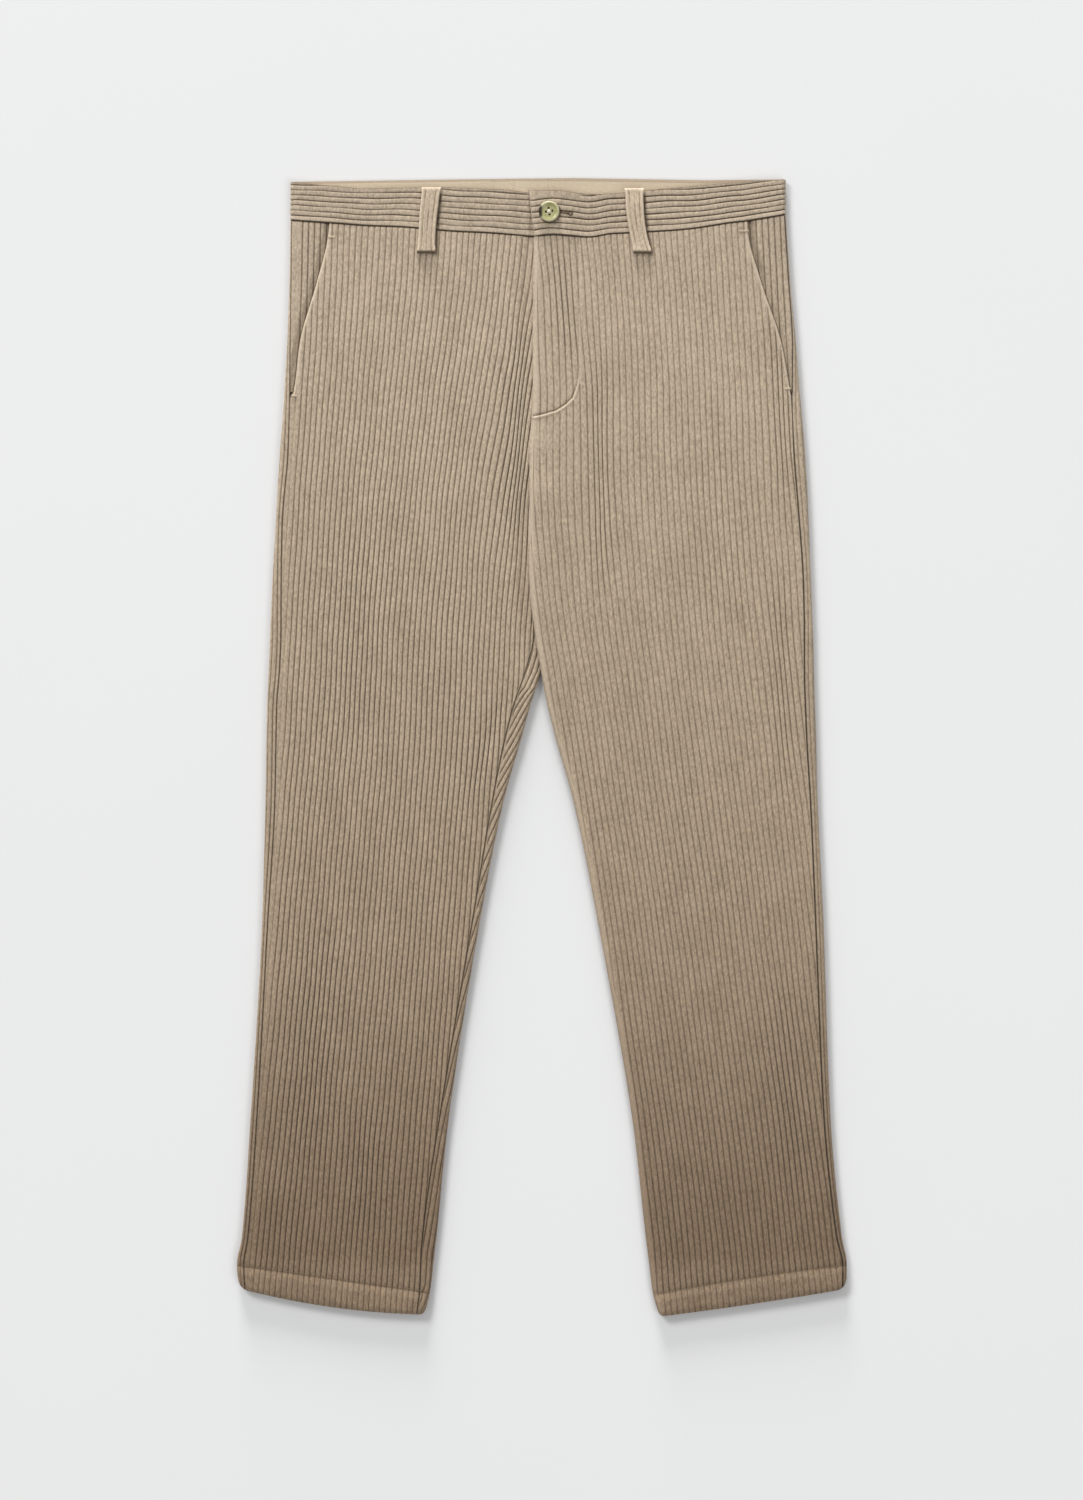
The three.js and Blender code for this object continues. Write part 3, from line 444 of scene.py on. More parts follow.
    def seen_at(self, w):
        """The x and y, in millimetres, at which a place on the leg is seen from above."""
        places = self.place(w, w) / MM
        return places[..., 0], places[..., 1]

    def seam_wave(self, w):
        at, rise = (np.array(column, float) for column in zip(*SEAM_WAVES[self.side]))
        return eased_column(at, rise, np.clip(w, at[0], at[-1]))

    def lifted(self, w):
        """How far the waist seam's waves lift the cloth under it."""
        return self.seam_wave(w) * smooth(1 - (self.y[0] - self.y) / SEAM_WAVE_DEPTH)

    def shade_under_band(self):
        """Painted shade: the dark line close under the waistband."""
        return DARKEST_PAINTED_SHADE * smooth((UNDER_BAND_WIDTH - (self.y[0] - self.y)) / UNDER_BAND_FADE)

    def wale_share(self, w):
        return (self.wale - w) / self.pitch

# Meshes

def closed_wall(outer, inner):
    """Triangles of a closed wall between two grids of points; the grids may differ in fineness."""
    points = np.concatenate([outer.reshape(-1, 3), inner.reshape(-1, 3)])
    ids_a = np.arange(outer.shape[0] * outer.shape[1]).reshape(outer.shape[:2])
    ids_b = len(outer.reshape(-1, 3)) + np.arange(inner.shape[0] * inner.shape[1]).reshape(inner.shape[:2])
    faces = []
    for ids, turned in ((ids_a, False), (ids_b, True)):
        a, b, c, d = ids[:-1, :-1].ravel(), ids[1:, :-1].ravel(), ids[1:, 1:].ravel(), ids[:-1, 1:].ravel()
        for three in ((a, b, c), (a, c, d)):
            faces.append(np.stack(three[::-1] if turned else three, axis=1))
    borders = lambda ids: (ids[:, 0], ids[-1], ids[::-1, -1], ids[0, ::-1])
    strip = []
    for line_a, line_b in zip(borders(ids_a), borders(ids_b)):
        sums = []
        for line in (line_a, line_b):
            along = np.concatenate([[0], np.cumsum(np.linalg.norm(np.diff(points[line], axis=0), axis=1))])
            sums.append(along / max(along[-1], 1e-12))
        i = j = 0
        while i + 1 < len(line_a) or j + 1 < len(line_b):
            if j + 1 >= len(line_b) or (i + 1 < len(line_a) and sums[0][i + 1] <= sums[1][j + 1]):
                strip.append((line_a[i + 1], line_a[i], line_b[j]))
                i += 1
            else:
                strip.append((line_a[i], line_b[j], line_b[j + 1]))
                j += 1
    faces.append(np.array(strip))
    return points, np.concatenate(faces)


SAME_PLACE = 2e-6


def tidy_mesh(points, faces, values):
    """Joins equal points, drops triangles shrunk to a line and turns the faces outwards."""
    keys = np.round(points / SAME_PLACE).astype(np.int64)
    _, first, same = np.unique(keys, axis=0, return_index=True, return_inverse=True)
    same = same.ravel()
    faces = same[faces]
    points, values = points[first], {k: v[first] for k, v in values.items()}
    live = (faces[:, 0] != faces[:, 1]) & (faces[:, 1] != faces[:, 2]) & (faces[:, 0] != faces[:, 2])
    faces = faces[live]
    a, b, c = (points[faces[:, i]] for i in range(3))
    if np.einsum("ij,ij->i", a, np.cross(b, c)).sum() < 0:
        faces = faces[:, ::-1]
    return points, faces, values


def mesh_object(name, points, faces, values, material, sharp=50):
    points, faces, values = tidy_mesh(points, faces, values)
    mesh = bpy.data.meshes.new(name)
    mesh.from_pydata(points.tolist(), [], faces.tolist())
    for key, value in values.items():
        mesh.attributes.new(key, "FLOAT", "POINT").data.foreach_set("value", value.astype(np.float32))
    mesh.polygons.foreach_set("use_smooth", np.ones(len(mesh.polygons), bool))
    mesh.set_sharp_from_angle(angle=np.radians(sharp))
    mesh.materials.append(material)
    piece = bpy.data.objects.new(name, mesh)
    bpy.context.collection.objects.link(piece)
    return piece


def cloth_piece(name, outer, inner, groove_and_painted_shade, material, painted_highlight=0.0):
    """A cloth shell with what its material reads: groove depth with painted shade, painted highlight on edges
    and ridges, wrong side.
    """
    points, faces = closed_wall(outer, inner)
    hidden = inner.shape[0] * inner.shape[1]

    def padded(seen, inside):
        return np.concatenate([np.broadcast_to(seen, outer.shape[:2]).ravel(), np.full(hidden, inside)])

    values = {"groove_and_painted_shade": padded(groove_and_painted_shade, 0.0), "painted_highlight": padded(painted_highlight, 0.0), "wrong_side": padded(0.0, 1.0)}
    return mesh_object(name, points, faces, values, material)


# Columns across a wale, and close columns along each edge.
WALE_SAMPLES = (0, 0.07, 0.15, 0.25, 0.5, 0.75, 0.85, 0.93)
BACK_SAMPLES = (0, 0.1, 0.24, 0.5, 0.76, 0.9)
BORDER_STEPS = (0, 0.12, 0.4, 0.8, 1.3)
BORDER_WIDTH = BORDER_STEPS[-1]


def wale_samples(first, last, samples=WALE_SAMPLES):
    """The columns of the wales from one number up to another, counted in wales."""
    return np.concatenate([k + np.array(samples) for k in range(first, last)])


def wale_grid(leg, count, outer, inner):
    """Columns that follow the wales between two edges, with close columns along each edge."""
    w = leg.wale - wale_samples(-1, count)[None, :] * leg.pitch
    w = leg.sign * crowded(leg.sign * w, leg.y)
    middle = (outer + inner) / 2
    w = np.clip(w, np.minimum(inner + BORDER_WIDTH, middle), np.maximum(outer - BORDER_WIDTH, middle))
    steps = np.minimum(np.array(BORDER_STEPS)[None, :], (outer - inner) / 2)
    return np.concatenate([outer - steps, w, inner + steps[:, ::-1]], axis=1)


def uncrowded(leg, w):
    """The wale coordinate of a place, undoing the crowding by a few rounds of correction."""
    flat = w
    for _ in range(4):
        flat = flat + (w - leg.sign * crowded(leg.sign * flat, leg.y))
    return leg.wale_share(flat)


def turned_edge(leg, inset, steps=14):
    """The right front's inner edge: rolled over at the fly, turned under along the leg."""
    radius = leg.inner_radius()
    last = np.pi / 2 - np.arcsin(HALF_GAP / radius)
    share = np.linspace(0, 1, steps + 1)[None, 1:]
    w = leg.inner + radius * (1 - share)
    roll = edge_roll(w - leg.inner, EDGE_ROUND) * (inset == 0)
    flat = w, leg.top(w) - inset - roll
    turned = leg.inner_cap(np.pi / 2 - share * last, inset)
    return mix(flat[0], turned[0], leg.turn), mix(flat[1], turned[1], leg.turn)


def button_shade(x, y):
    """Painted shadow under the button, on the side away from the light, and painted shade at the buttonhole.
    """
    across, along = x - BUTTON_X, y - BUTTON_Y
    under = BUTTON_PAINTED_SHADOW * hump(np.hypot(across, along) - 9.2, 1.0) * smooth((across - along + 3) / 8)
    around_eyelet = hump(x - EYELET_X, 3.0) * hump(y - EYELET_Y, 2.2)
    along_slit = hump(y - SLIT_Y, 0.9) * smooth((x - 15) / 2) * smooth((EYELET_X - x) / 2)
    return most(under, BUTTONHOLE_PAINTED_SHADE * most(around_eyelet, along_slit))


def tack_shade(side, x, y):
    """Painted shade where the cloth is drawn down just above the upper bar tack."""
    ax, ay, bx, _ = BAR_TACKS[side][0]
    along = smooth((x - ax + 0.6) / 1.2) * smooth((bx + 0.6 - x) / 1.2)
    return TACK_PAINTED_SHADE * along * hump(y - ay - 1.8, 0.8)


def loop_shade(x, y):
    """Painted shadow beside a belt loop, on the side away from the light, and under its foot."""
    total = np.zeros(np.broadcast(x, y).shape)
    for _, *line in LOOPS:
        length = line[1] - line[3]
        run = (line[1] - y) / length
        beside = x - loop_middle(line, run) - LOOP_WIDTH / 2
        side = hump(beside - 0.4, 1.3 + 1.1 * run)
        side = side * smooth((run - 0.04) / 0.1) * smooth((1.06 - run) / 0.05)
        foot = hump((run - 1) * length - 0.8, 2.0) * smooth((0.8 - beside) / 1.5)
        foot = foot * smooth((beside + LOOP_WIDTH + 0.8) / 1.5)
        total = most(total, LOOP_PAINTED_SHADOW * most(side, foot))
    return total


def fly_relief(x, y):
    """The sewn line of the fly: a shallow groove with a soft ridge outside it."""
    away, side = path_distance(x, y, FLY_STITCH)
    strength = mix(1.0, 0.42, smooth((y - 308) / 26)) * smooth((447 - y) / 8)
    ridge = hump(away - 1.8, 1.15) * (side > 0) * strength
    line = hump(away, 0.8) * strength
    return 0.95 * line - 0.6 * ridge, line, ridge


# The least of a wall that is left, and the rounding and plain strip at the pocket's mouth and at a seam; then
# the strength and place of the painted highlight at the fly and the mouth.
THINNEST = 0.25
MOUTH_ROUND, PLAIN_AT_MOUTH, PLAIN_AT_SEAM, BACK_PLAIN = 1.8, 2.6, 1.4, 1.6
FLY_HIGHLIGHT, MOUTH_HIGHLIGHT_IN, FLY_HIGHLIGHT_IN = 0.9, 1.3, 3.2
INNER_COLUMNS = {"front": 36, "back": 60, "facing": 24}


def seam_shade(distance):
    """Painted shade along a seam: 1 at the seam's edge, nothing a millimetre in from it."""
    return smooth((SEAM_SHADE_WIDTH - distance) / SEAM_SHADE_FADE)


def beside(grid, more):
    """A grid of columns with more columns after them."""
    return np.concatenate([grid, more], axis=1)


def make_front(leg, material):
    name = "front_" + leg.side
    outer_edge = leg.front
    inner_edge = leg.inseam if leg.left else leg.inner + leg.inner_radius()
    w = wale_grid(leg, WALES[leg.side], outer_edge, inner_edge)
    x, y = leg.seen_at(w)
    mouth = leg.y > POCKET_FOOT_Y - 3
    roll = edge_roll(outer_edge - w, np.where(mouth, MOUTH_ROUND, SEAM_ROUND))
    groove_and_painted_shade = wale_depth(uncrowded(leg, w)) * groove_strength(leg.sign * w, leg.y) * leg.rib
    if leg.left:
        roll = roll + edge_roll(w - inner_edge, SEAM_ROUND)
        calm = mix(0.3, 1, smooth((outer_edge - w - 1) / 10))
        groove_and_painted_shade = groove_and_painted_shade * mix(calm, 1, smooth((leg.y - 290) / 40))
    plain = np.where(mouth, PLAIN_AT_MOUTH, PLAIN_AT_SEAM)
    groove_and_painted_shade = groove_and_painted_shade * smooth((outer_edge - w) / plain - 0.1)
    inset = GROOVE * groove_and_painted_shade + roll + leg.fold_in + leg.seam_in
    # Painted shade along the side seam below the pocket, under the waistband, at the hem's step, beside the
    # belt loops and above the upper bar tack.
    side_seam = (1 + SEAM_DARK[leg.side]) * seam_shade(outer_edge - w) * (leg.y < POCKET_FOOT_Y + 4)
    groove_and_painted_shade = most(groove_and_painted_shade, side_seam, leg.shade_under_band(), leg.hem_shade_line)
    groove_and_painted_shade = most(groove_and_painted_shade, loop_shade(x, y), tack_shade(leg.side, x, y))
    # Painted highlight on the pocket mouth's rolled edge.
    painted_highlight = hump(outer_edge - w - MOUTH_HIGHLIGHT_IN, 1.2) * mouth
    if leg.left:
        # Painted shade along the inseam.
        groove_and_painted_shade = most(groove_and_painted_shade, SEAM_PAINTED_SHADE * seam_shade(w - inner_edge))
    else:
        # The fly: painted shade along its sewn line, a painted highlight on the ridge outside it and along
        # the fly's edge.
        relief, line, ridge = fly_relief(x, y)
        inset = inset + relief
        at_edge = smooth((14 - x) / 16) * smooth((296 - y) / 6)
        groove_and_painted_shade = most(groove_and_painted_shade * (1 - 0.6 * line) * (1 - 0.85 * ridge), line * (1.15 + 0.5 * at_edge))
        painted_highlight = most(painted_highlight, ridge * 0.85, FLY_HIGHLIGHT * hump(w - leg.inner - FLY_HIGHLIGHT_IN, 2.2))
    w_top, z_top = leg.on_top(w, np.minimum(inset, leg.wall - THINNEST))
    inner_w = mix(outer_edge, inner_edge, np.linspace(0, 1, INNER_COLUMNS["front"])[None, :])
    w_in, z_in = leg.on_top(inner_w, leg.wall - leg.fold_in)
    if not leg.left:
        edge_w, edge_z = turned_edge(leg, 0)
        relief, line, _ = fly_relief(*leg.seen_at(edge_w))
        w_top, z_top = beside(w_top, edge_w), beside(z_top, edge_z - leg.fold_in - relief * (1 - leg.turn))
        # On the turned edge: painted shade along the sewn line and a painted highlight near the fly's edge.
        groove_and_painted_shade = beside(groove_and_painted_shade, line * 1.7)
        painted_highlight = beside(painted_highlight, FLY_HIGHLIGHT * hump(edge_w - leg.inner - FLY_HIGHLIGHT_IN, 2.4))
        edge_w, edge_z = turned_edge(leg, CLOTH)
        hem_wall = np.maximum(leg.wall - CLOTH - leg.fold_in, 0)
        w_in, z_in = beside(w_in, edge_w), beside(z_in, edge_z - hem_wall)
    outer = leg.place(w_top, z_top, lifted=leg.lifted(w_top))
    inner = leg.place(w_in, z_in, lifted=leg.lifted(w_in))
    return cloth_piece(name, outer, inner, groove_and_painted_shade, material, painted_highlight)


def back_path(leg, s, inset):
    """A point of the back at a distance s from the outseam: lip, outer fold, underside, inner fold, lip."""
    radius = leg.high / 2
    cap_start = leg.edge - radius
    lip_end = leg.seam + HALF_GAP
    lip = np.maximum(cap_start - lip_end, 0)
    past_cap = np.arccos(np.clip((lip_end - cap_start) / radius, 0, 1))
    start_angle = np.where(lip_end > cap_start, past_cap, np.pi / 2)
    cap = radius * (start_angle + np.pi / 2)
    turned = leg.turn > 0
    inner_radius = leg.inner_radius()
    flat_end = np.where(turned, leg.inner + inner_radius, leg.centre_back())
    flat = cap_start - flat_end
    sweep = leg.turn * (np.pi if leg.left else np.pi / 2 - np.arcsin(HALF_GAP / inner_radius))
    inner_cap = inner_radius * sweep
    inner_lip = 0 * flat
    if leg.left:
        inner_lip = np.clip((leg.turn - 0.75) * 4, 0, 1) * (leg.inseam - SEAM_GAP - leg.inner - inner_radius)
    ends = np.cumsum([lip, cap, flat, inner_cap, inner_lip], axis=0)
    s = np.minimum(s, ends[-1])
    on_lip = leg.on_top(mix(lip_end, cap_start, np.clip(s / np.maximum(lip, 1e-6), 0, 1)), inset)
    on_cap = leg.outer_cap(start_angle - (s - lip) / radius, inset)
    flat_w = cap_start - (s - ends[1])
    on_flat = flat_w, leg.bottom(flat_w) + inset
    on_inner = leg.inner_cap(-np.pi / 2 + (s - ends[2]) / inner_radius, inset)
    lip_w = leg.inner + inner_radius + (s - ends[3])
    on_inner_lip = lip_w, leg.top(lip_w) - inset
    chosen = [on_lip, on_cap, on_flat, on_inner, on_inner_lip]
    where = [s < ends[0], s < ends[1], s < ends[2], s <= ends[3]]
    w = np.select(where, [c[0] for c in chosen[:4]], chosen[4][0])
    z = np.select(where, [c[1] for c in chosen[:4]], chosen[4][1])
    return w, z, ends[-1]


BACK_PHASE = 0.35


def make_back(leg, material):
    _, _, length = back_path(leg, 0 * leg.y, 0 * leg.y)
    count = int(np.ceil((length / leg.pitch).max())) + 1
    s = (wale_samples(0, count, BACK_SAMPLES)[None, :] - BACK_PHASE) * leg.pitch
    s = np.clip(s, BORDER_WIDTH, length - BORDER_WIDTH)
    steps = np.array(BORDER_STEPS)[None, :]
    s = np.concatenate([steps + 0 * length, s, length - steps[:, ::-1]], axis=1)
    roll = edge_roll(s, SEAM_ROUND) + edge_roll(length - s, SEAM_ROUND)
    groove_and_painted_shade = wale_depth(s / leg.pitch + BACK_PHASE) * leg.rib
    groove_and_painted_shade = groove_and_painted_shade * smooth(s / BACK_PLAIN) * smooth((length - s) / BACK_PLAIN)
    inset = np.minimum(GROOVE * groove_and_painted_shade + roll + leg.fold_in + leg.seam_in, leg.wall - THINNEST)
    # Painted shade along both seams and at the hem's step.
    side_seam = (1 + SEAM_DARK[leg.side]) * seam_shade(s)
    groove_and_painted_shade = most(groove_and_painted_shade, side_seam, SEAM_PAINTED_SHADE * seam_shade(length - s), leg.hem_shade_line)
    w, z, _ = back_path(leg, s, inset)
    inner_s = length * np.linspace(0, 1, INNER_COLUMNS["back"])[None, :]
    w_in, z_in, _ = back_path(leg, inner_s, leg.wall - leg.fold_in)
    drop = mix(BACK_DROP[leg.side], leg.drop, smooth((leg.y[0] - leg.y) / 60))
    bow = leg.bow * (leg.y < 300)
    outer, inner = leg.place(w, z, drop, bow), leg.place(w_in, z_in, drop, bow)
    return cloth_piece("back_" + leg.side, outer, inner, groove_and_painted_shade, material)


def make_facing(leg, material):
    """The pocket facing: wales parallel to the side, going down under the mouth of the pocket."""
    outer_edge = leg.seam - HALF_GAP
    inner_edge = leg.front - FACING_TUCK
    w = wale_grid(leg, 11, outer_edge, inner_edge)
    roll = edge_roll(outer_edge - w, SEAM_ROUND)
    calm = smooth((leg.edge - w - 5) / 7) if leg.left else 1.0
    groove_and_painted_shade = wale_depth(leg.wale_share(w)) * smooth((outer_edge - w) / 1.6) * calm

    def sunk(w, inset):
        dip = smooth((leg.front + FACING_DIP - w) / (FACING_DIP - 0.5))
        w_at, z_at = leg.on_top(w, inset)
        return w_at, z_at - (LEG_HEIGHT - TUCKED_HEIGHT + 0.25) * dip

    inset = GROOVE * 1.25 * groove_and_painted_shade + roll + leg.seam_in
    # Painted shadow under the pocket's mouth, wider near the top on the right, and painted shade under the
    # waistband.
    in_mouth = FACING_PAINTED_SHADOW * smooth((leg.front + 1.6 - w) / 1.8)
    if not leg.left:
        near_top = smooth((leg.y - 395) / 30)
        in_mouth = most(in_mouth, 0.75 * near_top * smooth((leg.front + 10 - w) / 7))
    outer = leg.place(*sunk(w, inset))
    inner_w = mix(outer_edge, inner_edge, np.linspace(0, 1, INNER_COLUMNS["facing"])[None, :])
    inner = leg.place(*sunk(inner_w, CLOTH))
    groove_and_painted_shade = most(groove_and_painted_shade * 1.2, in_mouth, leg.shade_under_band())
    return cloth_piece("pocket_facing_" + leg.side, outer, inner, groove_and_painted_shade, material)


# The waistband: its wales' pitch by the distance outwards, and the share of the side's turn at its join.
BAND_PITCHES = [(0, 5.15), (110, 5.1), (140, 4.8), (180, 4.6), (215, 4.4)]
BAND_JOIN = 0.33


def band_edges(leg, w, front):
    """Lower and upper edge of the waistband at a distance outwards, on the front or the back."""
    edge, inner = leg.edge[0, 0], leg.inner[0, 0]
    t = (edge - w) / (edge - (-CENTRE_BACK if leg.left else inner))
    top_line = FRONT_TOP_LEFT if leg.left else FRONT_TOP_RIGHT
    if not front:
        return leg.y[0, 0] - BACK_DROP[leg.side] * t + SEAM_GAP, table_line(BACK_TOP, leg.sign * w)
    rise = UNDERLAP_RISE * smooth((8 - w) / 10) if leg.left else 0
    low = leg.y[0, 0] - leg.drop[0, 0] * t - leg.bow[0, 0] * 4 * t * (1 - t) + SEAM_GAP
    low = low + rise + leg.seam_wave(w)
    return low, table_line(top_line, leg.sign * w)


def make_band(leg, part, material):
    """A waistband piece: the front with its turn round the side, or the back to just under the fold."""
    radius = LEG_HEIGHT / 2
    cap_start = leg.edge[0, 0] - radius
    half_join = HALF_GAP / (np.pi * radius)
    if part == "front":
        end = -UNDERLAP_END if leg.left else leg.inner[0, 0] - BAND_OVERHANG
        near_end = np.array([0, 0.3, 0.7, 1.2, 1.9])
        turn = np.linspace(BAND_JOIN + half_join, 1, 12)[:-1]
        flat = np.linspace(cap_start, end + 3, int((cap_start - end) / 2.2) + 1)
        flat = np.concatenate([flat, end + near_end[::-1]])
        w = np.concatenate([np.full(len(turn), cap_start), flat])
        turn = np.concatenate([turn, np.ones(len(flat))])
    else:
        start = leg.centre_back()
        flat = np.linspace(start, cap_start, int((cap_start - start) / 2.6) + 1)
        turn = np.linspace(0, BAND_JOIN - half_join, 6)[1:]
        w = np.concatenate([flat, np.full(len(turn), cap_start)])
        turn = np.concatenate([np.zeros(len(flat)), turn])
    angle = mix(-np.pi / 2, np.pi / 2, turn)
    (back_low, back_top), (front_low, front_top) = band_edges(leg, w, False), band_edges(leg, w, True)
    low = np.where(turn <= 0, back_low, np.where(turn < 1, np.maximum(back_low, front_low), front_low))
    top = mix(back_top, front_top, turn)
    rise_from, rise_over, layers = (15, 13, 1) if leg.left else (27, 14, 2)
    stack = BAND_STACK + layers * BAND_WALL + (layers - 1) * SEAM_GAP
    high = mix(stack, LEG_HEIGHT, smooth((w - rise_from) / rise_over))
    high = high + 0.25 * np.sin(w / 29 + 1) * smooth((cap_start - w) / 30) * smooth((w - 45) / 20)

    def points(rows_y, inset):
        slant = 0
        if part == "front" and not leg.left:
            slant = BAND_END_SLANT * (0.5 - (rows_y - low) / (top - low)) * smooth((12 - w + end) / 12)
        x = np.where(turn >= 1, w + slant, cap_start + (radius - inset) * np.cos(angle))
        x = np.where(turn <= 0, w, x)
        z = np.where(turn >= 1, high - inset, radius + (radius - inset) * np.sin(angle))
        return np.stack(np.broadcast_arrays(leg.sign * x, rows_y, z), axis=-1) * MM

    shares = wale_samples(0, 9)[:, None]
    wavy = (0.3 * np.sin(w / 17 + 1.3) + 0.2 * np.sin(w / 7.3 + shares * 1.1)) * (turn >= 1) * smooth(shares)
    pitch = table_line(BAND_PITCHES, w)
    steps = np.array(BORDER_STEPS)[:, None]
    lines = np.clip(low + shares * pitch + wavy, low + BORDER_WIDTH, top - BORDER_WIDTH)
    rows_y = np.concatenate([low + steps, lines, top - steps[::-1]])
    wavy = np.concatenate([wavy[:5], wavy, wavy[-5:]])
    share = (rows_y - low - wavy) / pitch
    groove_and_painted_shade = wale_depth(share, 0.1) * smooth((rows_y - low - 0.6) / 1.5) * smooth((top - rows_y) / 2.6)
    worn = 1 + 0.25 * np.sin(w / 33 + share * 2) + 0.15 * np.sin(w / 9 - share * 3)
    groove_and_painted_shade = groove_and_painted_shade * worn * (0.85 if leg.left else 1.12)
    past_end = w - end if part == "front" else 1e3 + 0 * w
    if part == "front" and not leg.left:
        short_wales = smooth((share - 6.4) / 0.3) * smooth((44 - w) / 14)
        groove_and_painted_shade = groove_and_painted_shade * (1 - short_wales) * smooth((past_end - 0.2) / 0.9)
    roll = edge_roll(rows_y - low, 1.1) + edge_roll(top - rows_y, 1.2)
    if part == "front":
        roll = roll + np.where(turn >= 1, edge_roll(past_end, 1.9), 0)
    inset = np.minimum(GROOVE * groove_and_painted_shade + roll, BAND_WALL - 0.3)
    outer = points(rows_y, inset)
    inner = points(mix(low, top, np.linspace(0, 1, 9)[:, None]), BAND_WALL)
    # Painted shade along the lower edge and the top edge.
    dark = most(2.0 * smooth((1.1 - (rows_y - low)) / 0.7), 1.3 * smooth((1.3 - (top - rows_y)) / 0.8))
    # Painted highlight on the lowest rib.
    painted_highlight = 0.5 * hump(rows_y - low - 2.4, 1.1)
    # Painted shadow beside the right band's end.
    if part == "front" and leg.left:
        dark = most(dark, hump(w - 10.0, 1.2))
    # Painted shade at the right band's end, with a painted highlight just in from it.
    if part == "front" and not leg.left:
        dark = most(dark, smooth((0.5 - past_end) / 0.5))
        painted_highlight = most(painted_highlight, 0.35 * hump(past_end - 2.0, 1.1))
    name = "waistband_" + ("back_" if part == "back" else "") + leg.side
    groove_and_painted_shade = most(groove_and_painted_shade * 1.3, dark)
    # Painted shadows beside the belt loops and round the button, and painted shade at the buttonhole.
    if part == "front":
        x = leg.sign * w
        groove_and_painted_shade = most(groove_and_painted_shade, loop_shade(x, rows_y), button_shade(x, rows_y))
    return cloth_piece(name, outer, inner, groove_and_painted_shade, material, painted_highlight)


# Shader maths

class Wire:
    """A shader socket that can be added, multiplied and so on; each step adds its Math node."""

    def __init__(self, paint, socket):
        self.paint, self.socket = paint, socket

    def step(self, operation, *values):
        made = self.paint.node("ShaderNodeMath", {"operation": operation}, dict(enumerate(values)))
        return Wire(self.paint, made.outputs[0])

    def __add__(self, other):
        return self.step("ADD", self, other)

    def __sub__(self, other):
        return self.step("SUBTRACT", self, other)

    def __rsub__(self, other):
        return self.step("SUBTRACT", other, self)

    def __mul__(self, other):
        return self.step("MULTIPLY", self, other)

    def __truediv__(self, other):
        return self.step("DIVIDE", self, other)

    __radd__ = __add__
    __rmul__ = __mul__

    def clamped(self):
        return self.step("MINIMUM", self.step("MAXIMUM", self, 0.0), 1.0)

    def above(self, low, high):
        """0 below low, 1 above high, straight between."""
        return ((self - low) / (high - low)).clamped()


class Nodes:
    """Adds nodes to a tree."""

    def __init__(self, tree):
        self.tree = tree

    def node(self, kind, settings=None, sockets=None):
        """A node of a type, with its settings and then the values or links of its sockets."""
        made = self.tree.nodes.new(kind)
        for key, value in (settings or {}).items():
            setattr(made, key, value)
        for key, value in (sockets or {}).items():
            self.feed(made.inputs[key], value)
        return made

    def feed(self, socket, value):
        if isinstance(value, Wire):
            value = value.socket
        if isinstance(value, bpy.types.NodeSocket):
            self.tree.links.new(value, socket)
        else:
            socket.default_value = value


class Paint(Nodes):
    """A material under construction."""

    def __init__(self, name):
        self.material = bpy.data.materials.new(name)
        self.material.use_nodes = True
        super().__init__(self.material.node_tree)
        self.shader = self.tree.nodes["Principled BSDF"]

    def wire(self, made, output=0):
        return Wire(self, made.outputs[output])

    def place(self):
        return self.node("ShaderNodeTexCoord").outputs["Object"]

    def attribute(self, name):
        return self.wire(self.node("ShaderNodeAttribute", {"attribute_name": name}), "Fac")

    def stretched(self, scale):
        """Object coordinates, stretched along an axis."""
        return self.node("ShaderNodeMapping", {}, {"Vector": self.place(), "Scale": scale}).outputs[0]

    def noise(self, scale, detail=2.0, stretch=(1, 1, 1), roughness=0.5):
        sockets = {"Vector": self.stretched(stretch), "Scale": scale}
        sockets.update({"Detail": detail, "Roughness": roughness})
        return self.wire(self.node("ShaderNodeTexNoise", {}, sockets), "Fac")

    def mix(self, factor, a, b, blend="MIX"):
        made = self.node("ShaderNodeMix", {"data_type": "RGBA", "blend_type": blend, "clamp_factor": True})
        for socket, value in zip([made.inputs[0], made.inputs[6], made.inputs[7]], [factor, a, b]):
            self.feed(socket, value)
        return made.outputs[2]

    def ramp(self, factor, stops):
        made = self.node("ShaderNodeValToRGB", {}, {"Fac": factor})
        elements = made.color_ramp.elements
        while len(elements) < len(stops):
            elements.new(0.5)
        for element, (position, colour) in zip(elements, stops):
            element.position = position
            element.color = colour
        return made.outputs["Color"]

    def finish(self, **sockets):
        for key, value in sockets.items():
            self.feed(self.shader.inputs[key.replace("_", " ")], value)
        return self.material


def linear(red, green, blue):
    """A linear colour from the everyday 0 to 255 values."""
    def one(v):
        v = v / 255
        return v / 12.92 if v <= 0.04045 else ((v + 0.055) / 1.055) ** 2.4

    return one(red), one(green), one(blue), 1.0


# Painted shade: the cloth is drawn darker from the waist to the hems, as stops by height with the nap's
# colour and that shade there.
SHADE_FROM, SHADE_TO = -0.5, 0.5
NAP_AND_SHADE_COLOURS = [
    (0.0, linear(150, 131, 111)),
    (0.044, linear(146, 127, 107)),
    (0.06, linear(137, 118, 98)),
    (0.14, linear(147, 128, 108)),
    (0.32, linear(172, 154, 133)),
    (0.52, linear(183, 166, 145)),
    (0.75, linear(192, 176, 155)),
    (1.0, linear(197, 181, 161)),
]


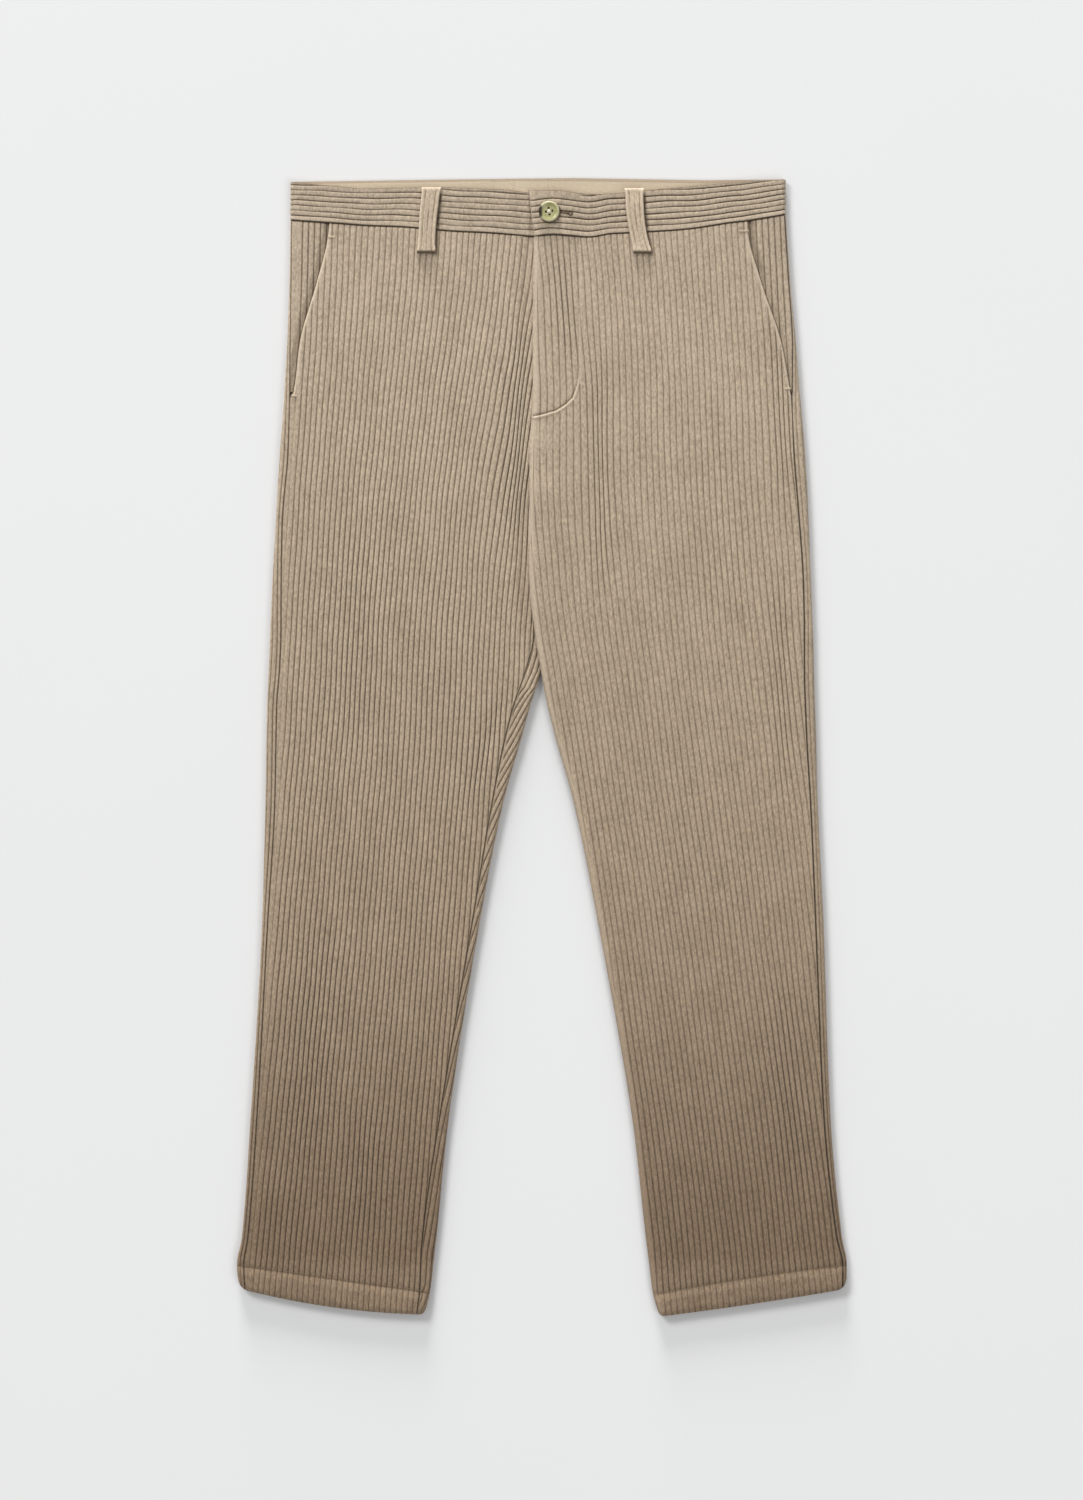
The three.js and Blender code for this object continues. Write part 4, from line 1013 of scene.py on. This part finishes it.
def corduroy(name, tone=(1, 1, 1, 1), groove_and_painted_shade_shade=0.62):
    """Napped corduroy: a brushed, heathered pile on the wales and a darker ground in the grooves, partly
    painted shade.
    """
    paint = Paint(name)
    height = paint.wire(paint.node("ShaderNodeSeparateXYZ", {}, {"Vector": paint.place()}), "Y")
    # The nap's colour, with painted shade darkening it from the waist to the hems.
    nap_and_shade = paint.ramp((height - SHADE_FROM) / (SHADE_TO - SHADE_FROM), NAP_AND_SHADE_COLOURS)
    nap_and_shade = paint.mix(1.0, nap_and_shade, tone, "MULTIPLY")
    heather = paint.noise(1500, 3.0, (1, 0.5, 1), 0.7)
    flecks = paint.noise(620, 2.0, (1, 0.42, 1), 0.6)
    clouds = paint.noise(60, 3.0, (1, 0.6, 1))
    mottled = (heather - 0.5) * 0.7 + (flecks - 0.5) * 0.8 + (clouds - 0.5) * 0.25
    dark = paint.mix(1.0, nap_and_shade, (0.55, 0.52, 0.48, 1), "MULTIPLY")
    light = paint.mix(1.0, nap_and_shade, (1.24, 1.24, 1.24, 1), "MULTIPLY")
    colour = paint.mix((mottled * 1.6 + 0.44).clamped(), dark, light)
    yellow = paint.mix(1.0, colour, (1.04, 1.0, 0.84, 1), "MULTIPLY")
    colour = paint.mix(flecks.above(0.56, 0.72) * 0.6, colour, yellow)
    # Read from the cloth: groove depth, for a darker ground that is partly painted shade, and above 1 painted
    # shade in seams, creases and beside raised parts.
    depth_and_shade = paint.attribute("groove_and_painted_shade")
    groove_and_painted_shade = (depth_and_shade + (heather - 0.5) * 0.5).above(0.2, 1.05)
    ground = paint.mix(1.0, colour, (groove_and_painted_shade_shade, groove_and_painted_shade_shade * 0.96, groove_and_painted_shade_shade * 0.9, 1), "MULTIPLY")
    colour = paint.mix(groove_and_painted_shade, colour, ground)
    # Painted shade: the darkest colour, for seams, creases and shadows beside raised parts.
    deepest_painted_shade = paint.mix(1.0, nap_and_shade, (0.16, 0.14, 0.115, 1), "MULTIPLY")
    colour = paint.mix(depth_and_shade.above(1.1, 1.9) * 0.85, colour, deepest_painted_shade)
    # Painted highlight on rolled edges, ridges and the belt loops' edges.
    colour = paint.mix(paint.attribute("painted_highlight") * 0.55, colour, light)
    wrong = paint.mix(1.0, nap_and_shade, (0.9, 0.88, 0.85, 1), "MULTIPLY")
    colour = paint.mix(paint.attribute("wrong_side"), colour, wrong)
    fuzz = heather * 0.6 + flecks * 0.8
    bump = paint.node("ShaderNodeBump", {}, {"Strength": 0.55, "Distance": 0.0009, "Height": fuzz})
    return paint.finish(
        Base_Color=colour,
        Roughness=0.95,
        Normal=bump.outputs[0],
        Specular_IOR_Level=0.12,
        Sheen_Weight=0.25,
        Sheen_Roughness=0.45,
        Sheen_Tint=(1.0, 0.95, 0.88, 1),
    )


def plain_cotton(name):
    """The plain woven facing inside the waistband."""
    paint = Paint(name)
    weave = paint.noise(900, 2.0, (1, 2.4, 1)) * 0.5 + paint.noise(900, 2.0, (2.4, 1, 1)) * 0.5
    colour = paint.mix(weave.above(0.3, 0.7), linear(186, 170, 146), linear(212, 197, 172))
    # Painted shade along the top edge.
    colour = paint.mix(paint.attribute("groove_and_painted_shade"), colour, linear(118, 102, 84))
    bump = paint.node("ShaderNodeBump", {}, {"Strength": 0.4, "Distance": 0.0004, "Height": weave})
    return paint.finish(Base_Color=colour, Roughness=0.9, Normal=bump.outputs[0], Specular_IOR_Level=0.15)


def thread_finish(name, colour, other):
    paint = Paint(name)
    twist = paint.noise(2500, 2.0)
    mixed = paint.mix(twist.above(0.35, 0.65), colour, other)
    return paint.finish(Base_Color=mixed, Roughness=0.7, Specular_IOR_Level=0.3)


def horn_finish(name):
    """Pale horn-like resin, grey-green at the rim, cream at the middle, with a dark streak on one side."""
    paint = Paint(name)
    middle = (BUTTON_X * MM, BUTTON_Y * MM, 0)
    moved = paint.node("ShaderNodeVectorMath", {"operation": "SUBTRACT"}, {0: paint.place(), 1: middle})
    flat = paint.node("ShaderNodeVectorMath", {"operation": "MULTIPLY"}, {0: moved.outputs[0], 1: (1, 1, 0)})
    length = paint.node("ShaderNodeVectorMath", {"operation": "LENGTH"}, {0: flat.outputs[0]})
    out = paint.wire(length, "Value") / MM
    parts = paint.node("ShaderNodeSeparateXYZ", {}, {"Vector": moved.outputs[0]})
    across, along = paint.wire(parts, "X") / MM, paint.wire(parts, "Y") / MM
    swirl = paint.noise(240, 3.0, (0.5, 1.6, 1), 0.6)
    rim = paint.mix(swirl.above(0.35, 0.7), linear(146, 141, 88), linear(180, 175, 126))
    centre = paint.mix(swirl.above(0.3, 0.7), linear(154, 150, 100), linear(196, 191, 152))
    colour = paint.mix((out - 2.0).above(0.0, 3.4), centre, rim)
    pale_edge = (out - 7.0).above(0.0, 0.8)
    colour = paint.mix(pale_edge * 0.5, colour, linear(214, 209, 178))
    off_middle = paint.wire(paint.node("ShaderNodeMath", {"operation": "ABSOLUTE"}, {0: along}))
    beside = 1 - off_middle.above(3.6, 6.2)
    streak = ((across * -1.0) + (swirl - 0.5) * 2.4).above(5.4, 6.8) * beside
    colour = paint.mix(streak, colour, linear(44, 34, 22))
    # Painted shade in the holes.
    colour = paint.mix(paint.attribute("hole_shade"), colour, linear(40, 30, 20))
    return paint.finish(Base_Color=colour, Roughness=0.35, Coat_Weight=0.2, Specular_IOR_Level=0.45)


# Button

BUTTON_X, BUTTON_Y = 7.0, 466.6
BUTTON_SEAT, HOLE_DEPTH = 9.4, 1.5
HOLES_OUT, HOLE_RADIUS, HOLES_TURNED = 2.7, 0.95, 8
HOLE_ANGLES = [np.radians(HOLES_TURNED + 90 * k) for k in range(4)]
HOLE_PLACES = [(HOLES_OUT * np.cos(angle), HOLES_OUT * np.sin(angle)) for angle in HOLE_ANGLES]
# The button's turned profile, as (distance from the middle, height).
BUTTON_FACE = [
    (0, 2.2), (3.6, 2.25), (5.2, 2.35), (6.0, 2.55), (6.7, 2.85),
    (7.4, 3.12), (8.0, 3.2), (8.4, 3.0), (8.75, 2.6),
]
BUTTON_SIDE = [(9.0, 1.9), (8.8, 1.2), (8.2, 0.6), (7.0, 0.1), (5.0, 0.0), (0, 0.0)]
BUTTON_TURNS = 128


def make_button(material):
    turns = BUTTON_TURNS
    angle = np.linspace(0, 2 * np.pi, turns, endpoint=False)[None, :]
    rings = []
    radii = np.concatenate([np.linspace(0.02, 4.2, 40), np.linspace(4.3, 8.75, 24)])
    for r in radii:
        x, y = r * np.cos(angle), r * np.sin(angle)
        z = table_line(BUTTON_FACE, r) + 0 * x
        for dx, dy in HOLE_PLACES:
            away = np.hypot(x - dx, y - dy)
            z = z - HOLE_DEPTH * smooth((HOLE_RADIUS + 0.16 - away) / 0.3)
        rings.append(np.stack(np.broadcast_arrays(x, y, z), axis=-1)[0])
    for r, z in BUTTON_SIDE:
        r = max(r, 0.02)
        ring = np.broadcast_arrays(r * np.cos(angle), r * np.sin(angle), 0 * angle + z)
        rings.append(np.stack(ring, axis=-1)[0])
    grid = np.array(rings)
    rows = len(grid)
    points = (grid.reshape(-1, 3) + (BUTTON_X, BUTTON_Y, BUTTON_SEAT)) * MM
    ids = np.arange(rows * turns).reshape(rows, turns)
    after = np.roll(ids, -1, axis=1)
    a, b, c, d = ids[:-1].ravel(), ids[1:].ravel(), after[1:].ravel(), after[:-1].ravel()
    faces = [np.stack((a, b, c), axis=1), np.stack((a, c, d), axis=1)]
    points = np.concatenate([points, [points[ids[0]].mean(axis=0), points[ids[-1]].mean(axis=0)]])
    first, last = rows * turns, rows * turns + 1
    faces.append(np.stack((np.full(turns, first), ids[0], after[0]), axis=1))
    faces.append(np.stack((np.full(turns, last), after[-1], ids[-1]), axis=1))
    flat = points[:, :2] / MM - (BUTTON_X, BUTTON_Y)
    nearest = np.min([np.hypot(flat[:, 0] - dx, flat[:, 1] - dy) for dx, dy in HOLE_PLACES], axis=0)
    above = points[:, 2] / MM > BUTTON_SEAT + 0.05
    # Where the painted shade in the holes lies.
    hole_shade = smooth((HOLE_RADIUS + 0.2 - nearest) / 0.3) * above
    return mesh_object("button", points, np.concatenate(faces), {"hole_shade": hole_shade}, material, sharp=40)


# Belt loops and the inner facing

def make_loop(name, top_x, top_y, foot_x, foot_y, material):
    seat = LEG_HEIGHT + SEAM_GAP
    crest, foot = seat + LOOP_WALL, seat + LOOP_FOLD
    over_at = [
        (0, crest - 1.2), (0.02, crest - 0.2), (0.06, crest + 0.2), (0.3, crest + 0.9), (0.7, crest + 1.0),
        (0.86, crest + 1.3), (0.92, crest + 1.6), (0.955, foot - 0.4), (0.98, foot - 1.2), (1, foot - 3.6),
    ]
    under_at = [(0, seat), (0.06, seat), (0.3, seat + 0.6), (0.7, seat + 0.6), (0.9, seat + 0.1), (1, seat)]
    run = np.concatenate([np.linspace(0, 0.08, 8), np.linspace(0.1, 0.82, 30), np.linspace(0.84, 1, 28)])
    over = eased_column(*(np.array(column, float) for column in zip(*over_at)), run)[:, None]
    under = table_line(under_at, run)[:, None]
    line = (top_x, top_y, foot_x, foot_y)
    run = run[:, None]
    flare = 0.13 * smooth((0.14 - run) / 0.14) + 0.05 * smooth((run - 0.88) / 0.06)
    width = LOOP_WIDTH * (1 + 0.03 * np.sin(run * 7) + flare)
    half = np.concatenate([[0, 0.008, 0.03, 0.06], np.linspace(0.09, 0.91, 34), [0.94, 0.97, 0.992, 1]])
    half = half[None, :]
    share = half * 3.6 - 0.8
    from_edge = np.minimum(half, 1 - half) * width
    groove_and_painted_shade = wale_depth(share, 0.1) * smooth((from_edge - 2) / 1.6) * (0.8 + 0.3 * np.sin(run * 9 + half * 7))
    groove_and_painted_shade = groove_and_painted_shade * smooth((run - 0.03) / 0.04)
    lip = 0.35 * hump(from_edge - 1.3, 0.9)
    x = loop_middle(line, run) + (half - 0.5) * width
    y = mix(top_y, foot_y, run) + 0 * half
    z = over - edge_roll(from_edge, 1.2) + lip - GROOVE * 0.8 * groove_and_painted_shade
    outer = np.stack(np.broadcast_arrays(x, y, z), axis=-1) * MM
    x_in = loop_middle(line, run) + (np.array([0, 0.5, 1])[None, :] - 0.5) * width
    inner = np.stack(np.broadcast_arrays(x_in, y[:, :1], under), axis=-1) * MM
    # Painted highlight on the loop's edges and its top end.
    painted_highlight = 0.9 * hump(from_edge - 0.9, 0.9) + 0.5 * smooth((0.03 - run) / 0.02)
    # Painted shadow under the fold of the foot, where the painted highlight stops.
    folded = smooth((run - 0.95) / 0.035)
    groove_and_painted_shade = most(groove_and_painted_shade * 1.3, DARKEST_PAINTED_SHADE * folded)
    return cloth_piece(name, outer, inner, groove_and_painted_shade, material, painted_highlight * (1 - folded))


def make_inner_facing(material):
    """The plain facing on the inside of the back waistband, a little uneven where it shows."""
    x = np.linspace(-207, 203, 120)[None, :]
    top = table_line(BACK_TOP, x) - 2.2
    low = LEFT_LEG[0][0] + SEAM_GAP + 6 + 0 * x
    across = np.concatenate([np.linspace(0, 0.6, 6), np.linspace(0.66, 1, 16)])[:, None]
    y = mix(low, top, across)
    wave = 0.1 * np.sin(x / 11) * np.sin(y / 6) + 0.06 * np.sin(x / 5.3)
    z = BAND_WALL + SEAM_GAP + 1.0 + wave - edge_roll(top - y, 0.35)
    outer = np.stack(np.broadcast_arrays(x, y, z), axis=-1) * MM
    inner = np.stack(np.broadcast_arrays(x, y, BAND_WALL + SEAM_GAP), axis=-1)[::5] * MM
    inner = np.concatenate([inner[:-1], (outer[-1:] * (1, 1, 0)) + (0, 0, (BAND_WALL + SEAM_GAP) * MM)])
    # Painted shade along the top edge, stronger towards the right.
    rim = smooth((1.1 - (top - y)) / 0.9) * mix(0.5, 0.85, smooth((x + 30) / 40))
    return cloth_piece("waistband_facing_back", outer, inner, rim, material)


# Stitches

def sewing_tree(name, thread, apart):
    """Thread along the edges that come in: short stitches set apart, or one strand that follows them."""
    tree = bpy.data.node_groups.new(name, "GeometryNodeTree")
    tree.interface.new_socket("Geometry", in_out="INPUT", socket_type="NodeSocketGeometry")
    for label in ("Stitch length", "Gap", "Thickness"):
        tree.interface.new_socket(label, in_out="INPUT", socket_type="NodeSocketFloat")
    tree.interface.new_socket("Geometry", in_out="OUTPUT", socket_type="NodeSocketGeometry")
    sew = Nodes(tree)
    into = sew.node("NodeGroupInput")
    long, gap, thick = (into.outputs[label] for label in ("Stitch length", "Gap", "Thickness"))
    line = sew.node("GeometryNodeMeshToCurve", {}, {"Mesh": into.outputs["Geometry"]}).outputs[0]
    if apart:
        pitch = sew.node("ShaderNodeMath", {"operation": "ADD"}, {0: long, 1: gap})
        sockets = {"Curve": line, "Length": pitch.outputs[0]}
        spread = sew.node("GeometryNodeResampleCurve", {"mode": "LENGTH"}, sockets)
        bead = sew.node("GeometryNodeMeshUVSphere", {}, {"Segments": 6, "Rings": 4, "Radius": 0.5})
        size = sew.node("ShaderNodeCombineXYZ", {}, {"X": long, "Y": thick, "Z": thick})
        sockets = {"Geometry": bead.outputs["Mesh"], "Scale": size.outputs[0]}
        shape = sew.node("GeometryNodeTransform", {}, sockets)
        along = sew.node("GeometryNodeInputTangent").outputs[0]
        turn = sew.node("FunctionNodeAlignRotationToVector", {"axis": "X"}, {"Vector": along})
        sockets = {"Points": spread.outputs[0], "Instance": shape.outputs[0], "Rotation": turn.outputs[0]}
        made = sew.node("GeometryNodeInstanceOnPoints", {}, sockets)
    else:
        half = sew.node("ShaderNodeMath", {"operation": "MULTIPLY"}, {0: thick, 1: 0.5})
        sockets = {"Resolution": 6, "Radius": half.outputs[0]}
        section = sew.node("GeometryNodeCurvePrimitiveCircle", {}, sockets)
        sockets = {"Curve": line, "Profile Curve": section.outputs[0], "Fill Caps": True}
        made = sew.node("GeometryNodeCurveToMesh", {}, sockets)
    real = sew.node("GeometryNodeRealizeInstances", {}, {"Geometry": made.outputs[0]})
    rounded = sew.node("GeometryNodeSetShadeSmooth", {}, {0: real.outputs[0]})
    dyed = sew.node("GeometryNodeSetMaterial", {}, {"Geometry": rounded.outputs[0], "Material": thread})
    sew.node("NodeGroupOutput", {}, {0: dyed.outputs[0]})
    return tree


def sewn(name, runs, tree, **sizes):
    """A plain mesh of thread along several runs of points (metres)."""
    starts = np.cumsum([0] + [len(run) for run in runs])
    edges = [(k, k + 1) for a, b in zip(starts, starts[1:]) for k in range(a, b - 1)]
    lines = bpy.data.meshes.new(name + " path")
    lines.from_pydata(np.concatenate(runs).tolist(), edges, [])
    source = bpy.data.objects.new(name + " path", lines)
    bpy.context.collection.objects.link(source)
    modifier = source.modifiers.new("stitches", "NODES")
    modifier.node_group = tree
    for item in tree.interface.items_tree:
        if item.in_out == "INPUT" and item.name.lower().replace(" ", "_") in sizes:
            modifier[item.identifier] = sizes[item.name.lower().replace(" ", "_")] * MM
    deps = bpy.context.evaluated_depsgraph_get()
    mesh = bpy.data.meshes.new_from_object(source.evaluated_get(deps), depsgraph=deps)
    mesh.name = name
    piece = bpy.data.objects.new(name, mesh)
    bpy.context.collection.objects.link(piece)
    bpy.data.objects.remove(source)
    return piece


class Surface:
    """Finds the height of the finished cloth at a place, for what is sewn onto it."""

    def __init__(self, pieces):
        self.trees = []
        for piece in pieces:
            mesh = piece.data
            faces = [p.vertices[:] for p in mesh.polygons]
            self.trees.append(BVHTree.FromPolygons([v.co for v in mesh.vertices], faces))

    def height(self, x, y):
        found = [tree.ray_cast(Vector((x * MM, y * MM, 0.05)), Vector((0, 0, -1)))[0] for tree in self.trees]
        return max([hit.z for hit in found if hit] or [0.008]) / MM

    def run(self, points, step=1.5, lift=0.0):
        """Points along a path, laid on the cloth and smoothed a little."""
        points = np.array(points, float)
        along = np.concatenate([[0], np.cumsum(np.hypot(*np.diff(points, axis=0).T))])
        at = np.linspace(0, along[-1], max(int(along[-1] / step), 2))
        x, y = np.interp(at, along, points[:, 0]), np.interp(at, along, points[:, 1])
        z = np.array([self.height(a, b) for a, b in zip(x, y)])
        if len(z) > 4:
            padded = np.pad(z, 2, mode="edge")
            z = np.max([padded[i : i + len(z)] for i in range(5)], axis=0) * 0.5 + z * 0.5
        return np.stack([x, y, z + lift], axis=1) * MM


def zigzag(ax, ay, bx, by, width, turns):
    """A dense back-and-forth run, as in a bar tack or a buttonhole's edge."""
    t = np.linspace(0, 1, turns * 2 + 1)
    length = np.hypot(bx - ax, by - ay)
    nx, ny = -(by - ay) / length * width / 2, (bx - ax) / length * width / 2
    swing = np.where(np.arange(len(t)) % 2 == 0, 1, -1)
    return [(mix(ax, bx, s) + nx * k, mix(ay, by, s) + ny * k) for s, k in zip(t, swing)]


BAR_TACKS = {
    "left": [(-185.3, 444.7, -179.2, 444.7), (-217.5, 306.5, -212.3, 306.5)],
    "right": [(172.3, 449.9, 180.6, 449.9), (212.3, 312.7, 217.1, 312.7)],
}
HEM_LINES = {"left": [(-258, -450.2), (-98, -473)], "right": [(260, -450.2), (99, -475)]}
POCKET_LINE = [(208.8, 349.7), (212.3, 315.8)]
BUTTONHOLE = (16.4, 466.9, 24.0, 465.6)
SLIT_Y = 466.2
EYELET_X, EYELET_Y, EYELET_RADIUS = 25.6, 465.2, 1.7
FACING_MARKS = [
    [(-24.2, 494.4), (-24.0, 487.6)],
    [(6.2, 494.6), (6.4, 486.6)],
    [(-42, 493.2), (-41.6, 489.4)],
    [(-42, 493.4), (-28, 493.6)],
]
STITCH = {"stitch_length": 2.6, "gap": 0.9, "thickness": 0.4}
TACK = {"thickness": 0.42}


def sew_front(side, front, stitches, strands):
    """The stitches and bar tacks on a front: its hem, its pocket and, on the right, the fly."""
    cloth = Surface([front])
    rows = [cloth.run(HEM_LINES[side], lift=0.05)]
    if side == "right":
        rows += [cloth.run(FLY_STITCH, lift=0.0), cloth.run(POCKET_LINE, lift=0.0)]
    tacks = [cloth.run(zigzag(*bar, 1.9, 11), step=0.35, lift=0.3) for bar in BAR_TACKS[side]]
    return [
        sewn("front_" + side + "_stitches", rows, stitches, **STITCH),
        sewn("front_" + side + "_bar_tacks", tacks, strands, **TACK),
    ]


def sew_buttonhole(band, strands):
    """A keyhole buttonhole: close stitches along both sides of the slit and round the eyelet."""
    cloth = Surface([band])
    ax, ay, bx, by = BUTTONHOLE
    runs = [cloth.run(zigzag(ax, ay + k, bx, by + k, 1.2, 14), step=0.3, lift=0.1) for k in (-0.85, 0.85)]
    around = np.linspace(0, 2 * np.pi, 57)
    reach = EYELET_RADIUS + np.where(np.arange(57) % 2 == 0, 0.55, -0.5)
    ring = np.stack([EYELET_X + reach * np.cos(around), EYELET_Y + reach * np.sin(around)], axis=1)
    runs.append(cloth.run(ring, step=0.3, lift=0.1))
    return sewn("waistband_right_buttonhole", runs, strands, thickness=0.38)


def sew_button(strands):
    """The thread that crosses between the button's holes."""
    runs = []
    for k in (0, 1):
        (ax, ay), (bx, by) = HOLE_PLACES[k], HOLE_PLACES[k + 2]
        for shift in (-0.35, 0, 0.35):
            across = np.array([-by + ay, bx - ax]) / (2 * HOLES_OUT) * shift
            t = np.linspace(0, 1, 13)
            arch = BUTTON_SEAT + 1.5 + (1.0 + 0.3 * k) * np.sin(np.pi * np.clip(t, 0.02, 0.98)) ** 0.5
            x = BUTTON_X + mix(ax, bx, mix(0.14, 0.86, t)) + across[0]
            y = BUTTON_Y + mix(ay, by, mix(0.14, 0.86, t)) + across[1]
            runs.append(np.stack([x, y, arch], axis=1) * MM)
    return sewn("button_thread", runs, strands, thickness=0.42)


# Camera, lights and floor

PIXEL_MM, PHOTO_ROWS = 0.87, 1500
VIEW_HEIGHT = PHOTO_ROWS * PIXEL_MM * MM
CAMERA_HEIGHT = 4.0
CAMERA_X, CAMERA_Y = 0.0004, -0.0017
STUDIO_STRENGTH = 0.41
FLOOR_REACH, FLOOR_LEVEL = 8.0, -0.0003


def make_camera():
    lens = bpy.data.cameras.new("camera")
    lens.sensor_fit = "VERTICAL"
    lens.sensor_height = 36
    lens.lens = 36 * (CAMERA_HEIGHT - LEG_HEIGHT * MM) / VIEW_HEIGHT
    lens.clip_end = 30
    camera = bpy.data.objects.new("camera", lens)
    camera.location = (CAMERA_X, CAMERA_Y, CAMERA_HEIGHT)
    bpy.context.collection.objects.link(camera)
    bpy.context.scene.camera = camera


def make_light(name, location, size, power):
    light = bpy.data.lights.new(name, "AREA")
    light.shape = "DISK"
    light.size = size
    light.energy = power
    lamp = bpy.data.objects.new(name, light)
    lamp.location = location
    lamp.rotation_euler = (-Vector(location)).to_track_quat("-Z", "Y").to_euler()
    bpy.context.collection.objects.link(lamp)


def make_stage():
    paint = Paint("pale floor")
    grain = paint.noise(3.0, 2.0)
    tone = paint.mix(grain, linear(229, 229, 229), linear(231, 231, 231))
    floor_finish = paint.finish(Base_Color=tone, Roughness=0.9, Specular_IOR_Level=0.1)
    mesh = bpy.data.meshes.new("floor")
    reach, level = FLOOR_REACH, FLOOR_LEVEL
    corners = [(-reach, -reach, level), (reach, -reach, level), (reach, reach, level), (-reach, reach, level)]
    mesh.from_pydata(corners, [], [(0, 1, 2, 3)])
    mesh.materials.append(floor_finish)
    floor = bpy.data.objects.new("floor", mesh)
    bpy.context.collection.objects.link(floor)
    world = bpy.data.worlds.new("studio")
    bpy.context.scene.world = world
    world.use_nodes = True
    background = world.node_tree.nodes["Background"]
    background.inputs["Color"].default_value = (0.98, 0.99, 1, 1)
    background.inputs["Strength"].default_value = STUDIO_STRENGTH
    make_light("key", (-8.5, 9.8, 9.8), 6.0, 1290)
    make_light("fill", (6.0, -5.0, 9.0), 6.0, 290)
    make_light("low", (-2.5, 20.0, 3.3), 6.4, 5500)


# Assembly

make_camera()
make_stage()
bpy.context.scene.view_settings.view_transform = "Standard"

leg_cloth = {
    "left": corduroy("corduroy of the left leg", tone=(1.025, 1.025, 1.025, 1)),
    "right": corduroy("corduroy of the right leg"),
}
band_cloth = corduroy("waistband corduroy", tone=(0.94, 0.94, 0.94, 1), groove_and_painted_shade_shade=0.42)
loop_cloth = corduroy("belt loop corduroy", tone=(1.06, 1.06, 1.05, 1), groove_and_painted_shade_shade=0.7)
facing_cloth = corduroy("pocket facing corduroy", tone=(0.97, 0.97, 0.97, 1), groove_and_painted_shade_shade=0.52)
cotton = plain_cotton("waist facing cotton")
thread = thread_finish("sewing thread", linear(132, 114, 95), linear(152, 134, 113))
dark_thread = thread_finish("buttonhole thread", linear(70, 54, 39), linear(92, 74, 56))
tack_thread = thread_finish("bar tack thread", linear(190, 172, 150), linear(214, 197, 174))
faint_thread = thread_finish("facing thread", linear(122, 104, 86), linear(150, 132, 112))
cream_thread = thread_finish("button thread", linear(226, 218, 196), linear(240, 234, 216))
horn = horn_finish("button horn")

left_leg, right_leg = (Leg(side, table, ROW_SPACING[side]) for side, table in TABLES.items())
left_pocket, right_pocket = (Leg(side, table[:5], POCKET_ROW_SPACING) for side, table in TABLES.items())

cloth_pieces = {}
for leg, pocket in ((left_leg, left_pocket), (right_leg, right_pocket)):
    cloth_pieces["front_" + leg.side] = make_front(leg, leg_cloth[leg.side])
    cloth_pieces["back_" + leg.side] = make_back(leg, leg_cloth[leg.side])
    cloth_pieces["pocket_facing_" + leg.side] = make_facing(pocket, facing_cloth)
    cloth_pieces["waistband_" + leg.side] = make_band(leg, "front", band_cloth)
    cloth_pieces["waistband_back_" + leg.side] = make_band(leg, "back", band_cloth)
cloth_pieces["waistband_facing_back"] = make_inner_facing(cotton)
for loop in LOOPS:
    cloth_pieces[loop[0]] = make_loop(*loop, loop_cloth)
button = make_button(horn)

stitches = sewing_tree("separate stitches", thread, True)
tack_strands = sewing_tree("bar tack", tack_thread, False)
hole_strands = sewing_tree("buttonhole edging", dark_thread, False)
button_strands = sewing_tree("button thread", cream_thread, False)
facing_stitches = sewing_tree("facing stitches", faint_thread, True)
threads = {
    "front_left": sew_front("left", cloth_pieces["front_left"], stitches, tack_strands),
    "front_right": sew_front("right", cloth_pieces["front_right"], stitches, tack_strands),
    "waistband_right": [sew_buttonhole(cloth_pieces["waistband_right"], hole_strands)],
}
facing_surface = Surface([cloth_pieces["waistband_facing_back"]])
marks = [facing_surface.run(mark, lift=0.05) for mark in FACING_MARKS]
threads["waistband_facing_back"] = [
    sewn("waistband_facing_stitches", marks, facing_stitches, stitch_length=1.1, gap=0.9, thickness=0.35)
]
button_sewing = sew_button(button_strands)

# Each sheet: its material slot, its cut's width, length and area, and what it lies on.
SHEET_COLUMNS = "node slot width length area lies_on".split()
SHEETS = [
    ("front_left", "corduroy", 0.268, 0.955, 0.1770, ["back_left"]),
    ("front_right", "corduroy", 0.282, 0.960, 0.1900, ["back_right", "front_left"]),
    ("back_left", "corduroy", 0.300, 0.966, 0.2090, []),
    ("back_right", "corduroy", 0.300, 0.966, 0.2090, []),
    ("pocket_facing_left", "corduroy", 0.046, 0.152, 0.0042, ["back_left", "front_left"]),
    ("pocket_facing_right", "corduroy", 0.046, 0.156, 0.0044, ["back_right", "front_right"]),
    ("waistband_left", "band_corduroy", 0.252, 0.041, 0.0094, ["front_left"]),
    ("waistband_right", "band_corduroy", 0.232, 0.041, 0.0088, ["front_right", "waistband_left"]),
    ("waistband_back_left", "band_corduroy", 0.232, 0.038, 0.0082, []),
    ("waistband_back_right", "band_corduroy", 0.228, 0.038, 0.0080, []),
    (
        "waistband_facing_back", "waist_facing", 0.410, 0.032, 0.0122,
        ["waistband_back_left", "waistband_back_right"],
    ),
    ("belt_loop_left", "loop_corduroy", 0.0155, 0.064, 0.00096, ["waistband_left"]),
    ("belt_loop_right", "loop_corduroy", 0.0155, 0.060, 0.00090, ["waistband_right"]),
]
for node, piece in cloth_pieces.items():
    piece.name = node + "_cloth"
for row in SHEETS:
    sheet = dict(zip(SHEET_COLUMNS, row))
    node = sheet["node"]
    piece = cloth_pieces[node]
    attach(piece, "root")
    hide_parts(node)
    for sewing in threads.get(node, []):
        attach(sewing, "root")
button.name = "button_horn_disc"
for piece in (button, button_sewing):
    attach(piece, "root")
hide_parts("button")

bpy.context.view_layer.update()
